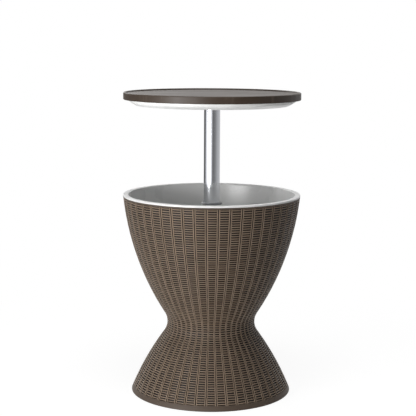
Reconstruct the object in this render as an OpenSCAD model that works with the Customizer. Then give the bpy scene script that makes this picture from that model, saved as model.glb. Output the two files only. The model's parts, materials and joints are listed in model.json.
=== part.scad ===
// Cooler side table. An hourglass ice bucket of moulded wicker stands on a flared
// base, and a round table top rides on a pole that lifts out of the bucket and
// clamps with a quarter turn. Millimetres, +Z up, origin on the floor under the pole.

/* [Outline] */
// Diameter of the bucket at its rim
rim_d = 498; // [470:2:530]
// Height of the wicker shell's rim above the floor
rim_h = 560; // [520:5:600]
// Smallest diameter, at the waist
waist_d = 250; // [220:2:280]
// Height of the waist
waist_h = 198.5; // [180:0.5:220]
// Radius of the waist's hollow
waist_round = 53; // [35:1:70]
// Lean of the bowl's side from upright, just above the waist
bowl_lean = 32.5; // [28:0.5:36]
// Lean of the base's side from upright, just below the waist
base_lean = 36; // [30:0.5:40]
// Diameter that the base's side reaches at the floor
foot_d = 455; // [420:0.5:490]
// Height of the joint between bowl and base
seam_h = 195; // [185:1:205]

/* [Wicker shells] */
// Wall of the two shells
shell_wall = 4; // [3:0.5:6]
// How far the stakes stand out of the woven ground
weave_relief = 1.2; // [0.8:0.1:2]
// Number of stakes round each shell
stake_count = 48; // [36:4:60]
// Share of the spacing that a stake takes up
stake_share = 0.27; // [0.2:0.01:0.4]
// Height of the plain band under the rim
rim_band = 5; // [3:0.5:10]
// Height of the plain band at the foot
foot_band = 15; // [8:1:25]
// Rounding of the foot's outer edge
foot_round = 4; // [2:0.5:6]
// Width of the flat ring that the base stands on
foot_ring_w = 16; // [10:1:30]
// Bevel of the two edges that meet at the seam
seam_bevel = 0.8; // [0.4:0.1:1.5]

/* [Waist joint] */
// Thickness of the deck that closes the base
deck_t = 5; // [4:0.5:8]
// Thickness of the bowl's floor plate, which sits on the deck
web_t = 4; // [3:0.5:6]
// Number of screws through the deck
waist_screw_count = 6; // [4:1:8]
// Circle that the waist screws stand on
waist_screw_pcd = 170; // [150:2:190]
// Diameter of the waist screws
waist_screw_d = 6; // [5:0.5:7]
// Thread length of the waist screws above the deck
waist_screw_grip = 14; // [10:1:20]
// Thickness of the ribs under the deck
rib_t = 3; // [2:0.5:5]

/* [Bucket] */
// Wall of the inner bucket
liner_wall = 3.5; // [2.5:0.5:5]
// Air gap between the inner bucket and the shell
liner_gap = 5.8; // [4:0.2:8]
// Thickness of the flange on the shell's rim
flange_t = 4.5; // [3:0.5:7]
// Depth of the inner bucket below the flange's top
bucket_depth = 265; // [220:5:290]
// Rounding between the bucket's floor and side
floor_round = 18; // [10:1:30]
// Depth of the skirt that centres the flange in the shell
rim_skirt_h = 10; // [6:1:16]
// Thickness of that skirt
rim_skirt_t = 2.5; // [2:0.5:3]

/* [Pole and column] */
// Diameter of the pole
pole_d = 45; // [38:1:52]
// Wall of the pole
pole_wall = 1.5; // [1:0.1:3]
// How far the table top lifts
lift = 265; // [230:5:290]
// Wall of the guide column
column_wall = 3; // [2:0.5:5]
// Extra radius inside the column around the pole
column_room = 4; // [3:0.5:6]
// Width of the collar that clamps the bucket's floor
collar_w = 12.5; // [8:0.5:18]
// Thickness of that collar
collar_t = 4; // [3:0.5:6]
// Thickness of the seal under the collar
seal_t = 1.5; // [1:0.25:3]
// Height of the ring nut under the bucket's floor
ring_nut_h = 10; // [6:1:14]
// Thickness of the solid foot of the column
column_foot_t = 12; // [10:1:18]
// Wall and floor of the socket that holds the column's foot
socket_wall = 4; // [3:0.5:6]
// Length of the guide bush below its flange
bush_l = 40; // [30:1:55]
// Thickness of the guide bush's flange
bush_flange_t = 4; // [3:0.5:6]
// Diameter of the bolt that holds the column down
foot_bolt_d = 8; // [6:0.5:10]

/* [Twist lock] */
// Length of the expanding sleeve
sleeve_l = 45; // [36:1:60]
// Thickness of the sleeve's closed end
sleeve_end_t = 6; // [4:0.5:9]
// Wall of the sleeve at its open end
sleeve_wall = 5; // [4:0.5:6]
// Extra wall of the sleeve at its closed end, which makes its taper
sleeve_taper = 6; // [4:0.5:7]
// Number of slits in the sleeve
slit_count = 4; // [4:2:6]
// Width of the slits
slit_w = 3; // [2:0.5:4]
// Height of the wedge that spreads the sleeve
wedge_h = 20; // [14:1:24]
// Travel of the wedge in the quarter turn
wedge_travel = 1; // [0.5:0.25:1.5]
// Diameter of the threaded spindle
spindle_d = 16; // [12:1:18]
// Thickness of the spindle's shoulder under the pole
shoulder_t = 3; // [2:0.5:5]
// Length of the spindle's plug inside the pole
plug_l = 36; // [24:1:50]
// Diameter of the pins that hold the pole's two plugs
pin_d = 5; // [4:0.5:6]

/* [Table top] */
// How far the table top stays inside the rim
top_inset = 1.5; // [0:0.5:3]
// Height of the table top's side
side_h = 20; // [17:0.5:28]
// Wall of the side
side_wall = 3.5; // [2.5:0.5:5]
// Thickness of the tray's plate
plate_t = 3.5; // [3:0.5:5]
// Height of the raised edge round the tray
lip_h = 4; // [3:0.5:6]
// Width of the raised edge
lip_w = 7; // [5:0.5:12]
// Diameter of the hub that the pole is screwed to
hub_d = 110; // [100:2:130]
// Thickness of that hub below the plate
hub_t = 8; // [6:0.5:8]
// Thickness of the pole head's flange
head_t = 6; // [4:0.5:7]
// Diameter of the pole head's flange
head_d = 92; // [86:1:98]
// Number of screws in the pole head
head_screw_count = 4; // [3:1:6]
// Diameter of the screws in the pole head and the lid
screw_d = 4; // [3:0.5:5]
// Number of stiffening ribs under the plate
plate_rib_count = 12; // [8:2:24]
// Height of those ribs below the plate
plate_rib_h = 8; // [4:0.5:8]
// Thickness of those ribs
plate_rib_t = 2.5; // [2:0.5:4]

/* [Lid pan] */
// Depth of the lid pan below the table top's side
pan_depth = 16.5; // [14:0.5:18]
// Wall of the lid pan
pan_wall = 3; // [2:0.5:4]
// Height of the pan's upper step
pan_step_h = 6; // [4:0.5:8]
// Width of the step between the pan's two tiers
pan_step_w = 5; // [3:0.5:8]
// How far the pan's side draws in below the step
pan_taper_w = 13; // [6:0.5:18]
// Radial play between the pan and the bucket's mouth
mouth_play = 2.4; // [1.5:0.1:4]
// Number of screws that hold the pan to the tray
pan_screw_count = 6; // [4:1:8]
// Circle that the pan screws stand on
pan_screw_pcd = 330; // [300:5:370]

/* [Drain] */
// Height of the drain above the bucket's floor
drain_rise = 14; // [13.5:0.5:18]
// Bore of the drain spout
drain_bore_d = 12; // [10:0.5:13]
// Wall of the drain spout
drain_wall = 3; // [2:0.5:3.5]
// Diameter of the spout's flange inside the bucket
drain_flange_d = 26; // [24:0.5:26.5]
// Diameter of the round pad on the shell
drain_pad_d = 44; // [38:1:50]
// Width of the plain collar round that pad
drain_collar_w = 3; // [2:0.5:5]
// How far the pad stands out of the shell at the drain's height
drain_pad_out = 5; // [2:0.5:8]
// Thickness of the plate behind the pad's face
drain_plate_t = 2.5; // [1.5:0.5:3.5]
// Height of the drain nut
drain_nut_h = 7; // [5:0.5:9]
// Diameter of the drain plug's cap
drain_cap_d = 24; // [20:0.5:28]

/* [Fits] */
// Gap between pieces that move past each other
slide_gap = 0.3; // [0.2:0.05:0.5]
// Gap round fixed pieces in their holes
fixed_gap = 0.15; // [0.1:0.05:0.3]
// Gap between the side and the rim when the top is down
close_gap = 0.5; // [0.3:0.1:1]
// Room above the column when the top is down
column_headroom = 8.5; // [4:0.5:14]
// Room under the spindle when the top is down
column_footroom = 6; // [3:0.5:12]

/* [Hidden] */
$fn = 96;

// Colours
wicker = [0.38, 0.33, 0.29];
dark_brown = [0.25, 0.21, 0.19];
white = [0.91, 0.91, 0.88];
bare_metal = [0.80, 0.81, 0.83];
grey = [0.55, 0.56, 0.57];
rubber = [0.16, 0.16, 0.16];

// Cuts run past a face by this much
over = 1;

// Hourglass outline: a bowl arc and a base arc, each tangent to the waist's hollow
rim_r = rim_d / 2;
waist_c = [waist_d / 2 + waist_round, waist_h];
bowl_start = waist_c + waist_round * [-cos(bowl_lean), sin(bowl_lean)];
base_start = waist_c + waist_round * [-cos(base_lean), -sin(base_lean)];
bowl_out = [cos(bowl_lean), -sin(bowl_lean)];
base_out = [cos(base_lean), sin(base_lean)];
function tangent_radius(chord, out) = -(chord * chord) / (2 * chord * out);
bowl_r = tangent_radius([rim_r, rim_h] - bowl_start, bowl_out);
base_r = tangent_radius([foot_d / 2, 0] - base_start, base_out);
bowl_c = bowl_start - bowl_r * bowl_out;
base_c = base_start - base_r * base_out;

// Radius of the outline at height z, drawn in by depth square to the surface
function bowl_at(z, depth) = bowl_c.x + sqrt(pow(bowl_r - depth, 2) - pow(z - bowl_c.y, 2));
function base_at(z, depth) = base_c.x + sqrt(pow(base_r - depth, 2) - pow(z - base_c.y, 2));
function waist_at(z, depth) = waist_c.x - sqrt(pow(waist_round + depth, 2) - pow(z - waist_h, 2));
function outline_at(z, depth) =
    z > waist_h + (waist_round + depth) * sin(bowl_lean) ? bowl_at(z, depth)
    : z < waist_h - (waist_round + depth) * sin(base_lean) ? base_at(z, depth)
    : waist_at(z, depth);

// Points along the outline, closer together in the waist
flank_step = 26;
waist_step = 7;
waist_top = bowl_start.y;
waist_bottom = base_start.y;
function steps(a, b, pitch) = max(1, ceil(abs(b - a) / pitch));
function between(a, b, n) = [for (i = [0:n]) a + (b - a) * i / n];
function heights(a, b) = concat(
    [if (a < waist_bottom) for (z = between(a, min(b, waist_bottom),
        steps(a, min(b, waist_bottom), flank_step))) z],
    [if (b > waist_bottom && a < waist_top) for (z = between(max(a, waist_bottom), min(b, waist_top),
        steps(max(a, waist_bottom), min(b, waist_top), waist_step))) z],
    [if (b > waist_top) for (z = between(max(a, waist_top), b,
        steps(max(a, waist_top), b, flank_step))) z]);
function rising(list) = [for (i = [0:len(list) - 1]) if (i == 0 || list[i] > list[i - 1] + 0.01) list[i]];
function outline(a, b, depth) = [for (z = rising(heights(a, b))) [outline_at(z, depth), z]];
function reversed(list) = [for (i = [len(list) - 1:-1:0]) list[i]];
function arc(c, r, a0, a1, n) = [for (a = between(a0, a1, n)) c + r * [cos(a), sin(a)]];

// Depths below the outline
ground = weave_relief;
shell_inside = ground + shell_wall;
liner_outside = shell_inside + liner_gap;
liner_inside = liner_outside + liner_wall;

// Bucket heights
rim_top = rim_h + flange_t;
floor_z = rim_top - bucket_depth;
mouth_r = outline_at(rim_h, liner_inside);

// Table top heights, with the top raised
side_z = rim_top + close_gap + lift;
top_z = side_z + side_h;
tray_z = top_z - lip_h;
plate_z = tray_z - plate_t;
hub_z = plate_z - hub_t;
head_z = hub_z - head_t;
pan_z = side_z - pan_depth;
top_r = rim_r - top_inset;

// Lid pan
pan_recess = 0.5;
pan_flange_z = side_z + pan_recess;
pan_r = mouth_r - mouth_play;
pan_flange_r = top_r - side_wall - slide_gap;

// Pole, bush and column radii
pole_r = pole_d / 2;
pole_bore_r = pole_r - pole_wall;
bush_r = pole_r + slide_gap;
bore_r = pole_r + column_room;
column_r = bore_r + column_wall;
collar_r = column_r + collar_w;
pole_hole_r = pole_r + slide_gap;

// Heights down the column, with the top raised
bush_top = pan_z - lift - column_headroom;
column_top = bush_top - bush_flange_t;
bush_z = column_top - bush_l;
sleeve_top = bush_z - slide_gap;
sleeve_z = sleeve_top - sleeve_l;
shoulder_z = sleeve_top + slide_gap;
pole_z = shoulder_z + shoulder_t;
collar_z = floor_z + seal_t;

// Twist lock
sleeve_r = bore_r - slide_gap;
taper_r0 = sleeve_r - sleeve_wall;
taper_h = sleeve_l - sleeve_end_t;
function taper_at(h) = taper_r0 - sleeve_taper * h / taper_h;
wedge_z = wedge_travel + 1;
spindle_r = spindle_d / 2;
key_w = slit_w - 2 * slide_gap;
key_inset = 2;
key_r = sleeve_r - key_inset;
key_short = 4;
washer_w = 4;
washer_r = spindle_r + washer_w;
washer_t = 2;
spindle_screw_d = 5;
spindle_screw_l = 16;

// Fasteners: head sizes as shares of the shank
head_dia_share = 2.1;
head_high_share = 0.7;
hex_share = 1.85;
socket_share = 0.9;
function head_dia(d) = head_dia_share * d;
function head_high(d) = head_high_share * d;
function pilot_d(d) = d + 2 * fixed_gap;

// Small roundings and bevels
bevel = 1;
corner_steps = 4;

// Foot of the column and its socket
spindle_end = sleeve_z - washer_t - head_high(spindle_screw_d);
column_floor = spindle_end - lift - column_footroom;
column_z = column_floor - column_foot_t;
socket_r = column_r + slide_gap;
socket_out_r = socket_r + socket_wall;
socket_grip = 20;
socket_top = max(seam_h, column_z + socket_grip);
socket_z = column_z - socket_wall;
deck_z = seam_h - deck_t;
foot_bolt_end = 3;
foot_bolt_l = column_foot_t - foot_bolt_end + socket_wall;
foot_washer_w = 5.6;
foot_washer_r = foot_bolt_d / 2 + foot_washer_w;
foot_washer_t = 1.6;
boss_wall = 4;
boss_cap = 2;
waist_boss_r = waist_screw_d / 2 + boss_wall;
waist_boss_h = waist_screw_grip + boss_cap;
waist_boss_in = socket_out_r + boss_cap;

// Pins through the pole: the upper one halfway between the pan and the pole head
head_plug_l = 32;
head_plug_solid = 17;
head_plug_wall = 6;
head_pin_z = (pan_z + pan_wall + head_z) / 2;
pin_cap_t = 1.2;
pin_cap_w = 1;
spindle_pin_rise = 16;
spindle_pin_z = pole_z + spindle_pin_rise;

// Screws in the table top
head_screw_pcd = head_d / 2 + pole_r + head_dia(screw_d) / 4;
head_screw_l = head_t + hub_t;
head_screw_room = 0.5;
pan_boss_r = screw_d / 2 + boss_wall;
pan_counterbore_h = 9;
pan_counterbore_room = 1;
pan_seat_t = 3.5;
pan_seat_z = pan_z + pan_counterbore_h;
pan_boss_top = pan_seat_z + pan_seat_t;
pan_screw_l = 14;

// Drain, on the +Y side
drain_z = floor_z + drain_rise;
drain_seat_in = 5;
drain_seat_y = outline_at(drain_z, liner_inside) - drain_seat_in;
drain_seal_t = 1.5;
drain_flange_t = 3;
drain_boss_t = 6;
drain_boss_w = 2.5;
drain_boss_r = drain_flange_d / 2 + drain_boss_w;
drain_recess_r = drain_flange_d / 2 + 3 * fixed_gap;
drain_spout_r = drain_bore_d / 2 + drain_wall;
drain_hole_r = drain_spout_r + slide_gap;
drain_pad_y = outline_at(drain_z, 0) + drain_pad_out;
drain_thread_out = 2;
drain_end_y = drain_pad_y + drain_nut_h + drain_thread_out;
drain_flange_y = drain_seat_y - drain_seal_t - drain_flange_t;
drain_nut_w = 6;
drain_nut_r = drain_spout_r + drain_nut_w;
drain_clear = 40;
plug_stem_l = 30;
plug_cap_t = 5;
plug_grip_w = 6;
plug_grip_t = 2;
plug_grip_share = 0.72;

// Revolves an outline of [radius, height] points
module turned(points) rotate_extrude() polygon(points);

// Copies children at count places on a circle
module around(count, radius, turn = 0)
    for (i = [0:count - 1]) rotate([0, 0, turn + 360 * i / count]) translate([radius, 0, 0]) children();

// Lays a +Z shape along +Y at the drain's height, with its start at y
module on_drain(y) translate([0, y, drain_z]) rotate([-90, 0, 0]) children();

// A flat ring from height z
module ring(z, h, r, hole) translate([0, 0, z]) difference() {
    cylinder(r = r, h = h);
    translate([0, 0, -over]) cylinder(r = hole, h = h + 2 * over);
}

// Pan head screw: head below z = 0, shank above it, six-sided socket in the head
module pan_head_screw(d, l) {
    head_r = head_dia(d) / 2;
    head_h = head_high(d);
    tip_r = d / 6;
    difference() {
        turned([[0, -head_h], [head_r - head_h / 2, -head_h], [head_r, -head_h / 2], [head_r, 0],
            [d / 2, 0], [d / 2, l - d / 2], [tip_r, l], [0, l]]);
        translate([0, 0, -head_h - over]) cylinder(d = d * socket_share, h = head_h / 2 + over, $fn = 6);
    }
}

// A pin across the pole at height z, or the hole for one
module across(z, d, l) translate([0, 0, z]) rotate([90, 0, 0]) cylinder(d = d, h = l, center = true);

// Raised stakes round a shell, from height a to b
module stakes(a, b) {
    stake_angle = stake_share * 360 / stake_count;
    sunk = 1;
    proud = 0.15;
    for (i = [0:stake_count - 1])
        rotate([0, 0, (i + 0.5) * 360 / stake_count - stake_angle / 2])
            rotate_extrude(angle = stake_angle)
                polygon(concat(outline(a, b, proud), reversed(outline(a, b, ground + sunk))));
}

module table_top() color(dark_brown) {
    edge = 2.5;
    foot_edge = 1.2;
    lip_slope = 70;
    lip_foot = 1.6;
    lip_in = top_r - lip_w;
    difference() {
        union() {
            turned(concat(
                [[0, plate_z], [top_r - side_wall, plate_z], [top_r - side_wall, side_z]],
                arc([top_r - foot_edge, side_z + foot_edge], foot_edge, -90, 0, corner_steps),
                arc([top_r - edge, top_z - edge], edge, 0, 90, corner_steps),
                arc([lip_in + edge, top_z - edge], edge, 90, 90 + lip_slope, corner_steps),
                arc([lip_in - lip_foot, tray_z + lip_foot], lip_foot, lip_slope - 90, -90, corner_steps),
                [[0, tray_z]]));
            translate([0, 0, hub_z]) cylinder(d = hub_d, h = hub_t + over);
            around(pan_screw_count, pan_screw_pcd / 2)
                translate([0, 0, pan_boss_top]) cylinder(r = pan_boss_r, h = plate_z - pan_boss_top + over);
            around(plate_rib_count, hub_d / 2 - over, 180 / plate_rib_count)
                translate([0, -plate_rib_t / 2, plate_z - plate_rib_h])
                    cube([pan_r - pan_wall - hub_d / 2, plate_rib_t, plate_rib_h + over]);
        }
        around(head_screw_count, head_screw_pcd / 2, 45)
            translate([0, 0, hub_z - over])
                cylinder(d = pilot_d(screw_d), h = hub_t + head_screw_room + over);
        around(pan_screw_count, pan_screw_pcd / 2)
            translate([0, 0, pan_boss_top - over]) cylinder(d = pilot_d(screw_d), h = pan_screw_l);
    }
}

module lid_pan() color(white) {
    step_z = side_z - pan_step_h;
    tier_r = pan_r - pan_step_w;
    low_r = tier_r - pan_taper_w;
    groove = 0.8;
    shoulder_h = 2;
    brim_in = tier_r - groove - pan_wall;
    difference() {
        union() {
            turned([[pole_hole_r, pan_z], [low_r - 3 * bevel, pan_z], [low_r, pan_z + bevel],
                [tier_r - 1.5 * bevel, step_z - shoulder_h - 1.5 * bevel],
                [tier_r, step_z - shoulder_h + bevel / 2],
                [tier_r - groove, step_z - bevel], [tier_r - groove, step_z],
                [pan_r - bevel, step_z], [pan_r, step_z + bevel], [pan_r, pan_flange_z],
                [pan_flange_r, pan_flange_z], [pan_flange_r, pan_flange_z + pan_wall],
                [pan_r - pan_wall, pan_flange_z + pan_wall], [pan_r - pan_wall, step_z + pan_wall],
                [brim_in, step_z + pan_wall], [brim_in, step_z - bevel],
                [low_r - bevel, pan_z + pan_wall], [pole_hole_r, pan_z + pan_wall]]);
            around(pan_screw_count, pan_screw_pcd / 2)
                translate([0, 0, pan_z]) cylinder(r = pan_boss_r + 1.5 * bevel, h = pan_boss_top - pan_z);
        }
        around(pan_screw_count, pan_screw_pcd / 2) {
            translate([0, 0, pan_z - over])
                cylinder(r = head_dia(screw_d) / 2 + pan_counterbore_room, h = pan_seat_z - pan_z + over);
            translate([0, 0, pan_z]) cylinder(d = pilot_d(screw_d), h = pan_boss_top - pan_z + over);
        }
    }
}

module pan_screws() color(bare_metal)
    around(pan_screw_count, pan_screw_pcd / 2)
        translate([0, 0, pan_seat_z]) pan_head_screw(screw_d, pan_screw_l);

module pole_head() color(grey) {
    plug_r = pole_bore_r - fixed_gap;
    plug_z = head_z - head_plug_l;
    difference() {
        union() {
            turned([[0, hub_z], [0, head_z], [head_d / 2 - bevel, head_z], [head_d / 2, head_z + bevel],
                [head_d / 2, hub_z]]);
            turned([[0, head_z + over], [0, plug_z], [plug_r - 2 * bevel, plug_z],
                [plug_r, plug_z + 2 * bevel], [plug_r, head_z + over]]);
        }
        translate([0, 0, plug_z - over])
            cylinder(r = pole_bore_r - head_plug_wall, h = head_plug_l - head_plug_solid + over);
        around(head_screw_count, head_screw_pcd / 2, 45)
            translate([0, 0, head_z - over]) cylinder(d = pilot_d(screw_d), h = head_t + 2 * over);
        across(head_pin_z, pilot_d(pin_d), pole_d);
    }
}

module head_screws() color(bare_metal)
    around(head_screw_count, head_screw_pcd / 2, 45)
        translate([0, 0, head_z]) pan_head_screw(screw_d, head_screw_l);

module head_pin() color(bare_metal) {
    shank_r = pin_d / 2;
    cap_r = shank_r + pin_cap_w;
    cap_in = pole_r + fixed_gap;
    cap_out = pole_r + pin_cap_t;
    cap_bevel = pin_cap_w / 2;
    side = [[shank_r, cap_in], [cap_r, cap_in], [cap_r, cap_out - cap_bevel],
        [cap_r - cap_bevel, cap_out], [0, cap_out]];
    translate([0, 0, head_pin_z]) rotate([90, 0, 0])
        turned(concat([for (p = reversed(side)) [p.x, -p.y]], side));
}

module pole() color(bare_metal) difference() {
    ring(pole_z, head_z - pole_z, pole_r, pole_bore_r);
    for (z = [head_pin_z, spindle_pin_z]) across(z, pilot_d(pin_d), pole_d + 2 * over);
}

module spindle() color(grey) {
    plug_r = pole_bore_r - fixed_gap;
    difference() {
        turned([[0, sleeve_z], [spindle_r - bevel, sleeve_z], [spindle_r, sleeve_z + bevel],
            [spindle_r, shoulder_z], [pole_r, shoulder_z], [pole_r, pole_z], [plug_r, pole_z],
            [plug_r, pole_z + plug_l - 2 * bevel], [plug_r - 2 * bevel, pole_z + plug_l],
            [0, pole_z + plug_l]]);
        across(spindle_pin_z, pilot_d(pin_d), pole_d);
        translate([0, 0, sleeve_z - over])
            cylinder(d = pilot_d(spindle_screw_d), h = spindle_screw_l + over);
    }
}

module spindle_pin() color(bare_metal) across(spindle_pin_z, pin_d, pole_d - 3 * fixed_gap);

module spindle_washer() color(bare_metal)
    ring(sleeve_z - washer_t, washer_t, washer_r, pilot_d(spindle_screw_d) / 2);

module spindle_screw() color(bare_metal)
    translate([0, 0, sleeve_z - washer_t]) pan_head_screw(spindle_screw_d, spindle_screw_l);

module lock_sleeve() color(grey) {
    edge = 1.5 * bevel;
    slit_in = spindle_r + 2;
    slit_h = taper_h - 3;
    difference() {
        turned([[taper_at(0), sleeve_z], [sleeve_r, sleeve_z], [sleeve_r, sleeve_top - edge],
            [sleeve_r - edge, sleeve_top], [spindle_r + slide_gap, sleeve_top],
            [spindle_r + slide_gap, sleeve_z + taper_h], [taper_at(taper_h), sleeve_z + taper_h]]);
        for (i = [0:slit_count - 1]) rotate([0, 0, 360 * i / slit_count])
            translate([slit_in, -slit_w / 2, sleeve_z - over]) cube([sleeve_r, slit_w, slit_h + over]);
    }
}

module lock_wedge() color(dark_brown) difference() {
    union() {
        turned([[0, sleeve_z + wedge_z], [taper_at(wedge_z) - slide_gap, sleeve_z + wedge_z],
            [taper_at(wedge_z + wedge_h) - slide_gap, sleeve_z + wedge_z + wedge_h],
            [0, sleeve_z + wedge_z + wedge_h]]);
        for (turn = [0, 180]) rotate([0, 0, turn])
            translate([spindle_r + over, -key_w / 2, sleeve_z + wedge_z])
                cube([key_r - spindle_r - over, key_w, wedge_h - key_short]);
    }
    translate([0, 0, sleeve_z]) cylinder(r = spindle_r + fixed_gap, h = wedge_z + wedge_h + over);
}

// Side view of the bucket wall: a floor, a rounded corner and the side up to the mouth
function pan_side(depth, z, corner) =
    let (
        reach = bowl_r - depth,
        cz = z + corner,
        cr = bowl_c.x + sqrt(pow(reach - corner, 2) - pow(cz - bowl_c.y, 2)),
        up = atan2(cz - bowl_c.y, cr - bowl_c.x),
        join_z = bowl_c.y + reach * sin(up))
    concat(arc([cr, cz], corner, -90, up, corner_steps + 2),
        [for (p = outline(join_z, rim_h, depth)) if (p.y > join_z + over / 2) p]);

module bucket_liner() color(white) {
    hole_r = column_r + fixed_gap;
    skirt_r = outline_at(rim_h, shell_inside) - 2 * slide_gap;
    edge = 1.5;
    difference() {
        union() {
            turned(concat(
                [[hole_r, floor_z]],
                pan_side(liner_inside, floor_z, floor_round),
                [[mouth_r, rim_top - edge]],
                arc([mouth_r + edge, rim_top - edge], edge, 180, 90, corner_steps),
                arc([rim_r - edge, rim_top - edge], edge, 90, 0, corner_steps),
                [[rim_r, rim_h], [skirt_r, rim_h], [skirt_r - bevel, rim_h - rim_skirt_h],
                    [skirt_r - rim_skirt_t, rim_h - rim_skirt_h], [skirt_r - rim_skirt_t, rim_h]],
                reversed(pan_side(liner_outside, floor_z - liner_wall, floor_round + liner_wall)),
                [[hole_r, floor_z - liner_wall]]));
            on_drain(drain_seat_y) cylinder(r = drain_boss_r, h = drain_boss_t);
        }
        on_drain(drain_seat_y - drain_clear) cylinder(r = drain_recess_r, h = drain_clear);
        on_drain(drain_seat_y - over) cylinder(r = drain_hole_r, h = drain_clear);
    }
}

module guide_column() color(white) difference() {
    turned([[0, column_z], [column_r - bevel, column_z], [column_r, column_z + bevel],
        [column_r, collar_z], [collar_r, collar_z], [collar_r, collar_z + collar_t - bevel],
        [collar_r - bevel, collar_z + collar_t],
        [column_r, collar_z + collar_t], [column_r, column_top], [bore_r, column_top],
        [bore_r, column_floor], [0, column_floor]]);
    translate([0, 0, column_z - over])
        cylinder(d = pilot_d(foot_bolt_d), h = column_foot_t - foot_bolt_end / 2 + over);
}

module guide_bush() color(grey) {
    edge = 1.5 * bevel;
    body_r = bore_r - fixed_gap;
    turned([[bush_r, bush_z], [body_r - bevel, bush_z], [body_r, bush_z + bevel], [body_r, column_top],
        [column_r, column_top], [column_r, bush_top - edge], [column_r - edge, bush_top],
        [bush_r + edge, bush_top], [bush_r, bush_top - edge]]);
}

module column_seal() color(rubber) ring(floor_z, seal_t, collar_r, column_r + fixed_gap);

module ring_nut() color(grey) {
    nut_r = collar_r - bevel;
    nut_z = floor_z - liner_wall - ring_nut_h;
    notch_count = 6;
    notch_w = 8;
    notch_d = 4;
    brim = 3;
    difference() {
        ring(nut_z, ring_nut_h, nut_r, column_r + fixed_gap);
        around(notch_count, nut_r - notch_d)
            translate([0, -notch_w / 2, nut_z - over])
                cube([2 * notch_d, notch_w, ring_nut_h - brim + over]);
    }
}

module foot_washer() color(bare_metal)
    ring(socket_z - foot_washer_t, foot_washer_t, foot_washer_r, pilot_d(foot_bolt_d) / 2);

module foot_bolt() color(bare_metal) translate([0, 0, socket_z - foot_washer_t]) {
    translate([0, 0, -head_high(foot_bolt_d)])
        cylinder(d = hex_share * foot_bolt_d, h = head_high(foot_bolt_d), $fn = 6);
    cylinder(d = foot_bolt_d, h = foot_bolt_l + foot_washer_t);
}

// Solid round pad for the drain with a collar round it level with the stakes, clear of the bucket,
// and a plate behind its face where that lies deeper than the shell's wall
module drain_pad() {
    reach = drain_pad_d / 2 + drain_collar_w;
    low = drain_z - reach - over;
    high = drain_z + reach + over;
    plate_y = drain_pad_y - drain_plate_t;
    difference() {
        union() {
            on_drain(drain_seat_y) cylinder(d = drain_pad_d, h = drain_pad_y - drain_seat_y);
            intersection() {
                on_drain(drain_seat_y) cylinder(r = reach, h = drain_clear);
                turned(concat([[0, low]], outline(low, high, 0), [[0, high]]));
            }
        }
        intersection() {
            turned(concat([[0, low - over]], outline(low - over, high + over, shell_inside - over / 2),
                [[0, high + over]]));
            on_drain(plate_y - drain_clear) cylinder(r = reach + over, h = drain_clear);
        }
    }
}

module upper_shell() color(wicker) {
    band_z = rim_h - rim_band;
    web_top = seam_h + web_t;
    difference() {
        union() {
            turned(concat(
                [[waist_boss_in, seam_h], [outline_at(seam_h, ground) - seam_bevel, seam_h]],
                outline(seam_h + seam_bevel, band_z, ground),
                [[outline_at(band_z, 0), band_z], [rim_r, rim_h - bevel], [rim_r - bevel, rim_h]],
                reversed(outline(web_top, rim_h, shell_inside)),
                [[waist_boss_in, web_top]]));
            stakes(seam_h + 2 * bevel, band_z + over);
            drain_pad();
            around(waist_screw_count, waist_screw_pcd / 2)
                translate([0, 0, seam_h]) cylinder(r = waist_boss_r, h = waist_boss_h);
        }
        on_drain(drain_pad_y) cylinder(d = drain_pad_d, h = drain_clear);
        on_drain(drain_seat_y - drain_clear) cylinder(r = drain_hole_r, h = 2 * drain_clear);
        around(waist_screw_count, waist_screw_pcd / 2)
            translate([0, 0, seam_h - over])
                cylinder(d = pilot_d(waist_screw_d), h = waist_screw_grip + over);
    }
}

// Rib in the angle between the socket, the deck and the base's side
module deck_rib() {
    low = socket_z;
    high = deck_z + over;
    rotate([90, 0, 0]) linear_extrude(rib_t, center = true)
        polygon(concat([[socket_out_r - over, high], [socket_out_r - over, low]],
            outline(low, high, ground + shell_wall / 2)));
}

module lower_shell() color(wicker) {
    ring_in = outline_at(foot_round, 0) - foot_ring_w;
    foot_edge = outline_at(foot_round, 0) - foot_round;
    socket_foot = min(socket_z, deck_z);
    difference() {
        union() {
            turned(concat(
                [[ring_in, shell_wall], [ring_in, 0]],
                arc([foot_edge, foot_round], foot_round, -90, 0, corner_steps),
                [for (p = outline(foot_round, foot_band, 0)) if (p.y > foot_round) p],
                outline(foot_band, seam_h - seam_bevel, ground),
                [[outline_at(seam_h, ground) - seam_bevel, seam_h], [0, seam_h], [0, deck_z]],
                reversed(outline(shell_wall, deck_z, shell_inside))));
            translate([0, 0, socket_foot]) cylinder(r = socket_out_r, h = socket_top - socket_foot);
            stakes(foot_band - over, seam_h - 2 * bevel);
            around(waist_screw_count, 0, 180 / waist_screw_count) deck_rib();
        }
        translate([0, 0, column_z]) cylinder(r = socket_r, h = socket_top - column_z + over);
        translate([0, 0, socket_z - over]) cylinder(d = pilot_d(foot_bolt_d), h = socket_wall + 2 * over);
        if (socket_z > socket_foot) translate([0, 0, socket_foot - over])
            cylinder(r = foot_washer_r + fixed_gap, h = socket_z - socket_foot + over);
        around(waist_screw_count, waist_screw_pcd / 2)
            translate([0, 0, deck_z - over]) cylinder(d = pilot_d(waist_screw_d), h = deck_t + 2 * over);
    }
}

module waist_screws() color(bare_metal)
    around(waist_screw_count, waist_screw_pcd / 2)
        translate([0, 0, deck_z]) pan_head_screw(waist_screw_d, deck_t + waist_screw_grip - over);

module drain_spout() color(white) on_drain(drain_flange_y) {
    flange_r = drain_flange_d / 2;
    spout_l = drain_end_y - drain_flange_y;
    turned([[drain_bore_d / 2, 0], [flange_r - bevel, 0], [flange_r, bevel], [flange_r, drain_flange_t],
        [drain_spout_r, drain_flange_t], [drain_spout_r, spout_l], [drain_bore_d / 2, spout_l]]);
}

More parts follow.
